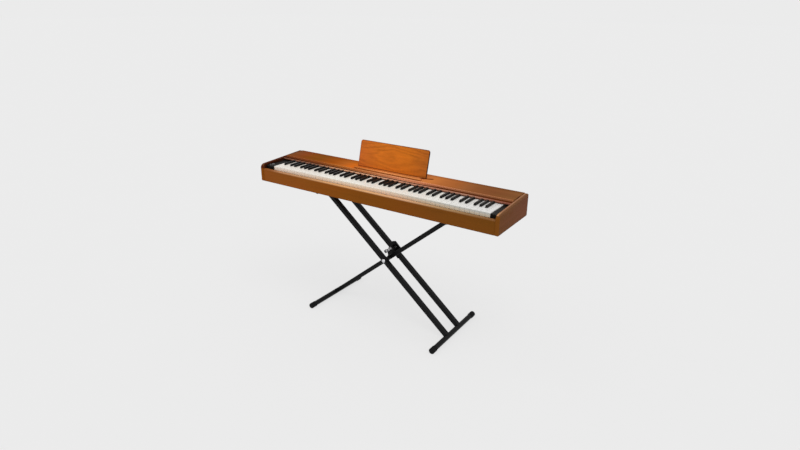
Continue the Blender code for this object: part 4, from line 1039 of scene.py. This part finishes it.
def make_sockets():
    """Rims round the sockets behind: rings of steel, a pin in the power inlet, and a square bezel."""
    middle = middle_of("socket_plate")
    face = box_of("socket_plate")[1][1]
    sink, proud = -0.0003, 0.0008
    steel = Skins()
    for place, bore in ((0, 0.0033), (2, 0.0032), (3, 0.0032)):
        origin = (middle[0] + (place - 1.5) * SOCKET_PITCH, face, middle[2])
        rim = block(bore, sink, bore + 0.0024, proud, 0.0003, 3)
        steel.add(turned(rim), closed_along=True, origin=origin, **ALONG_Y)
        if place == 0:
            pin = rounded([(0.0, -0.0015), (0.0009, -0.0015), (0.0009, -0.0085), (0.0, -0.0085)],
                          (0, 0.0004, 0.0002, 0), 3, False)
            steel.add(*lathe(pin, 24), origin=origin, **ALONG_Y)
    steel.piece("socket_rims", "piano", PLATED)
    hole = block(-0.0062, -0.0055, 0.0062, 0.0055, 0.0008)
    edge = drawn_in(hole, [-0.0016])[0]
    bezel = np.stack([raised(edge, sink), raised(edge, proud), raised(hole, proud), raised(hole, sink)])
    origin = (middle[0] - SOCKET_PITCH / 2, face, middle[2])
    skin = Skins().add(bezel, closed_along=True, origin=origin, **ALONG_Y)
    skin.piece("data_socket_bezel", "piano", KNOB_PLASTIC)


# Stand

def half_length(node):
    """Half of a node's size along Y."""
    low, high = box_of(node)
    return (high[1] - low[1]) / 2


def across_pivot(**more):
    return {**ALONG_Y, "origin": (PIVOT[0], 0.0, PIVOT[2]), **more}


def make_tube(node, body):
    """A round tube along Y: an outer and an inner wall that meet at softened ends."""
    middle, half = middle_of(node), half_length(node)
    profile = block(TUBE_RADIUS - TUBE_WALL, -half, TUBE_RADIUS, half, 0.0004, 3)
    origin = (middle[0], 0.0, middle[2])
    show(node + "_steel", body, PAINT, node, turned(profile), closed_along=True, origin=origin, **ALONG_Y)


def make_cup(node, tube, body):
    """A rubber cup on a tube's end: a rounded nose, a ribbed skirt, and a bore over the tube."""
    low, high = box_of(node)
    middle, end = middle_of(tube), half_length(tube) + 0.0003
    radius = (high[0] - low[0]) / 2
    sign = 1.0 if (low + high)[1] > 0 else -1.0
    rim, tip = sorted((abs(low[1]), abs(high[1])))
    profile = closer(rounded(
        [(0.0, tip), (radius, tip), (radius, rim), (CUP_BORE, rim), (CUP_BORE, end), (0.0, end)],
        (0, 0.0045, 0.0009, 0.0003, 0.0003, 0), 6, False,
    ), 0.0007)
    on_skirt = profile[:, 0] > radius - 1e-6
    groove = sum(np.exp(-((profile[:, 1] - (rim + 0.004 + 0.0035 * k)) / 0.0007) ** 2) for k in range(4))
    profile[:, 0] -= 0.0006 * groove * on_skirt
    turn = {"across": X_WAY, "up": Z_WAY, "out": (0.0, sign, 0.0), "origin": (middle[0], 0.0, middle[2])}
    show(node + "_rubber", body, RUBBER, node, *lathe(profile), **turn)


def make_leg(node, y, sign, body):
    """A rectangular tube between two round ones: its ends are the saddle where it meets them.

    At a distance a across the leg's middle, the saddle lies sqrt(R^2 - a^2) short of the round
    tube's axis.  A rippled weld bead runs round each saddle.
    """
    run_x, run_z = math.cos(ARM_ANGLE), sign * math.sin(ARM_ANGLE)
    origin = (PIVOT[0], y, PIVOT[2])
    turn = {"across": (-run_z, 0.0, run_x), "up": Y_WAY, "out": (run_x, 0.0, run_z), "origin": origin}
    half_width, half_depth = LEG_WIDTH / 2, half_length(node)
    outer = block(-half_width, -half_depth, half_width, half_depth, 0.003, 6)
    inner = drawn_in(outer, [TUBE_WALL])[0]
    reach = TUBE_RADIUS + 0.0003

    def saddle(outline, side, back=0.0):
        short = np.sqrt(reach ** 2 - outline[:, 0] ** 2)
        return np.column_stack([outline, side * (ARM_HALF - short - back)])

    rings = np.stack([
        saddle(outer, -1), saddle(outer, -1, 0.002), saddle(outer, 1, 0.002), saddle(outer, 1),
        saddle(inner, 1), saddle(inner, -1),
    ])
    skins = Skins().add(rings, closed_along=True, **turn)
    path = closer(np.concatenate([outer, outer[:1]]), 0.0012)[:-1]
    side_way = np.roll(path, -1, 0) - np.roll(path, 1, 0)
    side_way /= np.linalg.norm(side_way, axis=1)[:, None]
    outward = np.stack([side_way[:, 1], -side_way[:, 0], np.zeros(len(path))], 1)
    run = np.cumsum(np.linalg.norm(np.roll(path, -1, 0) - path, axis=1))
    swell = 0.0014 * (1 + 0.13 * np.sin(run * FULL_TURN / 0.0031))
    around = angles(10)[:, None, None]
    bead = (np.cos(around) * outward + np.sin(around) * np.array(Z_WAY)) * swell[:, None]
    for side in (-1, 1):
        skins.add(saddle(path, side, 0.0004) + bead, closed_along=True, **turn)
    skins.piece(node + "_steel", body, PAINT, node)


def make_bolt():
    """The pivot's bolt: a domed head with a drive recess, a shank and a nut; and its spacer."""
    low, high = box_of("pivot_bolt")
    radius = (high[0] - low[0]) / 2
    shank, nut_radius = 0.004, 0.008
    profile = rounded(
        [(0.0, low[1] + 0.0018), (0.0026, low[1] + 0.0018), (0.003, low[1] + 0.0001),
         (radius * 0.72, low[1] + 0.001), (radius, -BOLT_REACH - 0.0012), (radius, -BOLT_REACH),
         (shank, -BOLT_REACH), (shank, BOLT_REACH), (nut_radius, BOLT_REACH), (nut_radius, high[1]),
         (0.0, high[1])],
        (0, 0.0002, 0.0006, 0.003, 0.001, 0.0003, 0, 0, 0.0005, 0.0008, 0), 5, False,
    )
    rings, hubs = lathe(profile)
    nut = (profile[1:-1, 1] > BOLT_REACH + 1e-5) & (profile[1:-1, 0] > 0.006)
    flats = math.cos(math.pi / 6) / np.cos((angles(48) % (math.pi / 3)) - math.pi / 6)
    rings[:, :, :2] *= np.where(nut[:, None], flats, 1.0)[:, :, None]
    show("pivot_bolt_steel", "double_arm", PLATED, "pivot_bolt", rings, hubs, **across_pivot())
    low, high = box_of("pivot_spacer")
    ring = turned(block(0.0043, low[1], (high[0] - low[0]) / 2, high[1], 0.0005, 3))
    show("pivot_spacer_steel", "double_arm", PAINT, "pivot_spacer", ring, closed_along=True, **across_pivot())


def banded(*circles):
    """The outline of a band stretched round circles, each given as a centre and a radius."""
    turn = angles(48)
    points = np.concatenate([
        np.stack([x + radius * np.cos(turn), y + radius * np.sin(turn)], 1) for x, y, radius in circles
    ])
    return points[convex_hull_2d(points.tolist())]


def make_housing(front_y):
    """The lock's moulded housing with its yoke, drawn along and across the single arm."""
    run_x, run_z = math.cos(ARM_ANGLE), math.sin(ARM_ANGLE)
    lay = across_pivot(across=(run_x, 0.0, run_z), up=(-run_z, 0.0, run_x))
    yoke_low, back_y = (corner[1] for corner in box_of("lock_housing"))
    round_by, beyond, rib = 0.007, 0.0025, 0.002
    low_at, top_at = round_by - LEG_WIDTH / 2, LOCK_ABOVE + beyond
    body = banded(
        (-0.0255, low_at, round_by), (0.012, low_at, round_by), (LOCK_ALONG + beyond, top_at, round_by),
        (LOCK_ALONG - beyond, top_at, round_by), (-0.0255, 0.008, round_by),
    )
    label = banded((-0.016, 0.015, rib), (0.014, 0.015, rib), (0.01, 0.0225, rib), (-0.01, 0.02, rib))
    ear, web = 0.009, 0.006
    ears = banded((LOCK_ALONG, LOCK_ABOVE, ear), (LOCK_ALONG - web + 0.0006, LOCK_ABOVE, ear))
    near, height = LOCK_ALONG - ear, ear * 0.7
    flange = block(near - web, LOCK_ABOVE - height, near, LOCK_ABOVE + height, 0.0015, 4)
    skins = Skins()
    for outline, low, high, rim in (
        (body, front_y, back_y, 0.002), (label, front_y - 0.001, front_y + 0.001, 0.0005),
        (ears, yoke_low, yoke_low + 0.0035, 0.0009), (flange, yoke_low + 0.001, front_y + 0.002, 0.0005),
    ):
        skins.add(*slab(outline, low, high, rim), **lay)
    skins.piece("lock_housing_moulding", "single_arm", HOUSING_PLASTIC, "lock_housing")


def make_lock():
    """The lock: a moulded housing with a yoke, a sprung pin with a knob, and its coil spring."""
    front_y = half_length("single_leg_tube") + 0.0003
    make_housing(front_y)
    low, pin, high = spread_of("lock_pin")
    lay = {**ALONG_Y, "origin": (pin[0], 0.0, pin[2])}
    knob = (high[0] - low[0]) / 2
    shaft, collar = 0.003, 0.0065
    collar_back = front_y - 0.0008
    collar_front = collar_back - 0.002
    knob_back = low[1] + 0.006
    profile = rounded(
        [(0.0, low[1]), (knob * 0.9, low[1]), (knob, low[1] + 0.002), (knob, knob_back - 0.0015),
         (knob * 0.85, knob_back), (shaft, knob_back), (shaft, collar_front), (collar, collar_front),
         (collar, collar_back), (shaft, collar_back), (shaft, high[1]), (0.0, high[1])],
        (0, 0.001, 0.0008, 0.0006, 0.0005, 0.0003, 0, 0.0003, 0.0003, 0, 0.0008, 0), 4, False,
    )
    show("lock_pin_steel", "pin", PLATED, "lock_pin", *lathe(profile, 64), **lay)

    low, high = box_of("lock_spring")
    wire, coils, radius = 0.0009, 9, 0.0055
    share = np.linspace(0.0, 1.0, coils * 28 + 1)
    turn = FULL_TURN * coils * share
    length = high[1] - low[1] - 2 * wire
    centre = np.stack([radius * np.cos(turn), radius * np.sin(turn), low[1] + wire + length * share], 1)
    outward = np.stack([np.cos(turn), np.sin(turn), np.zeros_like(turn)], 1)
    pitch = length / (FULL_TURN * coils)
    tangent = np.stack([-radius * np.sin(turn), radius * np.cos(turn), np.full_like(turn, pitch)], 1)
    tangent /= np.linalg.norm(tangent, axis=1)[:, None]
    sideways = np.cross(tangent, outward)
    around = angles(12)[None, :, None]
    rings = centre[:, None] + wire * (np.cos(around) * outward[:, None] + np.sin(around) * sideways[:, None])
    spring = show("lock_spring_wire", "single_arm", PLATED, "lock_spring", rings, **lay)
    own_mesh(spring)


def make_stand():
    make_leg("front_leg_tube", -LEG_APART, -1, "double_arm")
    make_leg("rear_leg_tube", LEG_APART, -1, "double_arm")
    make_leg("single_leg_tube", 0.0, 1, "single_arm")
    for node, body in (
        ("right_foot_tube", "double_arm"), ("left_support_tube", "double_arm"),
        ("left_foot_tube", "single_arm"), ("right_support_tube", "single_arm"),
    ):
        make_tube(node, body)
    for cup, tube, body in (
        ("right_foot_cap", "right_foot_tube", "base"), ("left_foot_cap", "left_foot_tube", "single_arm"),
        ("right_sleeve", "right_support_tube", "sleeves"), ("left_sleeve", "left_support_tube", "double_arm"),
    ):
        for end in ("front", "rear"):
            make_cup(f"{cup}_{end}", tube, body)
    make_bolt()
    make_lock()


make_boards()
make_lid()
make_cheeks()
make_rest()
make_keys()
make_controls()
make_speakers()
make_sockets()
make_stand()


# Floor, light and camera

CAMERA_PLACE = Vector((1.50255, -2.144, 1.517))
CAMERA_YAW = -0.5877
CAMERA_PITCH = -0.3738
CAMERA_ROLL = 0.0087
FOCAL_PIXELS = 562.894
IMAGE_WIDTH = 800
SENSOR_WIDTH = 36.0
FLOOR_HALF = 60.0
PAPER_GLOW = 0.674
DOME_GLOW = 0.55
WHITE = (1.0, 1.0, 1.0, 1.0)


def make_camera():
    data = bpy.data.cameras.new("photograph_camera")
    data.sensor_width = SENSOR_WIDTH
    data.lens = FOCAL_PIXELS / IMAGE_WIDTH * SENSOR_WIDTH
    data.clip_start = 0.01
    camera = placed("photograph_camera", data)
    camera.matrix_world = (
        Matrix.Translation(CAMERA_PLACE) @ Matrix.Rotation(-CAMERA_YAW, 4, "Z")
        @ Matrix.Rotation(math.pi / 2 + CAMERA_PITCH, 4, "X") @ Matrix.Rotation(CAMERA_ROLL, 4, "Z")
    )
    bpy.context.scene.camera = camera


def make_floor():
    """A wide sheet of pale paper, which glows a little so that shadows on it stay faint."""
    mesh = bpy.data.meshes.new("studio_floor")
    corners = [(x * FLOOR_HALF, y * FLOOR_HALF, 0.0) for x, y in ((-1, -1), (1, -1), (1, 1), (-1, 1))]
    mesh.from_pydata(corners, [], [(0, 1, 2, 3)])
    paper = Finish(
        "studio paper", Base_Color=mix(noise(PLACE, 3.0, 2.0), (113, 113, 113), (115, 115, 115)), Roughness=0.9,
        Emission_Color=WHITE, Emission_Strength=PAPER_GLOW, Specular_IOR_Level=0.0,
    )
    mesh.materials.append(paper.material)
    placed("studio_floor", mesh)


def make_light():
    """A plain pale dome, and two broad soft suns: one high in front, one from the left.

    The camera, and reflections, see a backdrop of the photograph's tone in place of the dome.
    """
    world = bpy.data.worlds.new("studio")
    bpy.context.scene.world = world
    dome = Node("Background", {}, WHITE, DOME_GLOW)
    backdrop = Node("Background", {}, (235, 235, 235), 1.0)
    seen, glossy, through = (
        Node("LightPath", {}, output=f"Is {ray} Ray") for ray in ("Camera", "Glossy", "Transmission")
    )
    grow(world, "OutputWorld", Node("MixShader", {}, seen | glossy | through, dome, backdrop))
    for name, strength, spread, heading in (
        ("key_sun", 1.1, 50.0, (-0.45, 0.35, -1.0)), ("side_sun", 0.45, 60.0, (0.9, 0.5, -0.9)),
    ):
        data = bpy.data.lights.new(name, "SUN")
        data.energy = strength
        data.angle = math.radians(spread)
        placed(name, data).rotation_euler = Vector(heading).to_track_quat("-Z", "Y").to_euler()
    bpy.context.scene.view_settings.view_transform = "Standard"


make_camera()
make_floor()
make_light()
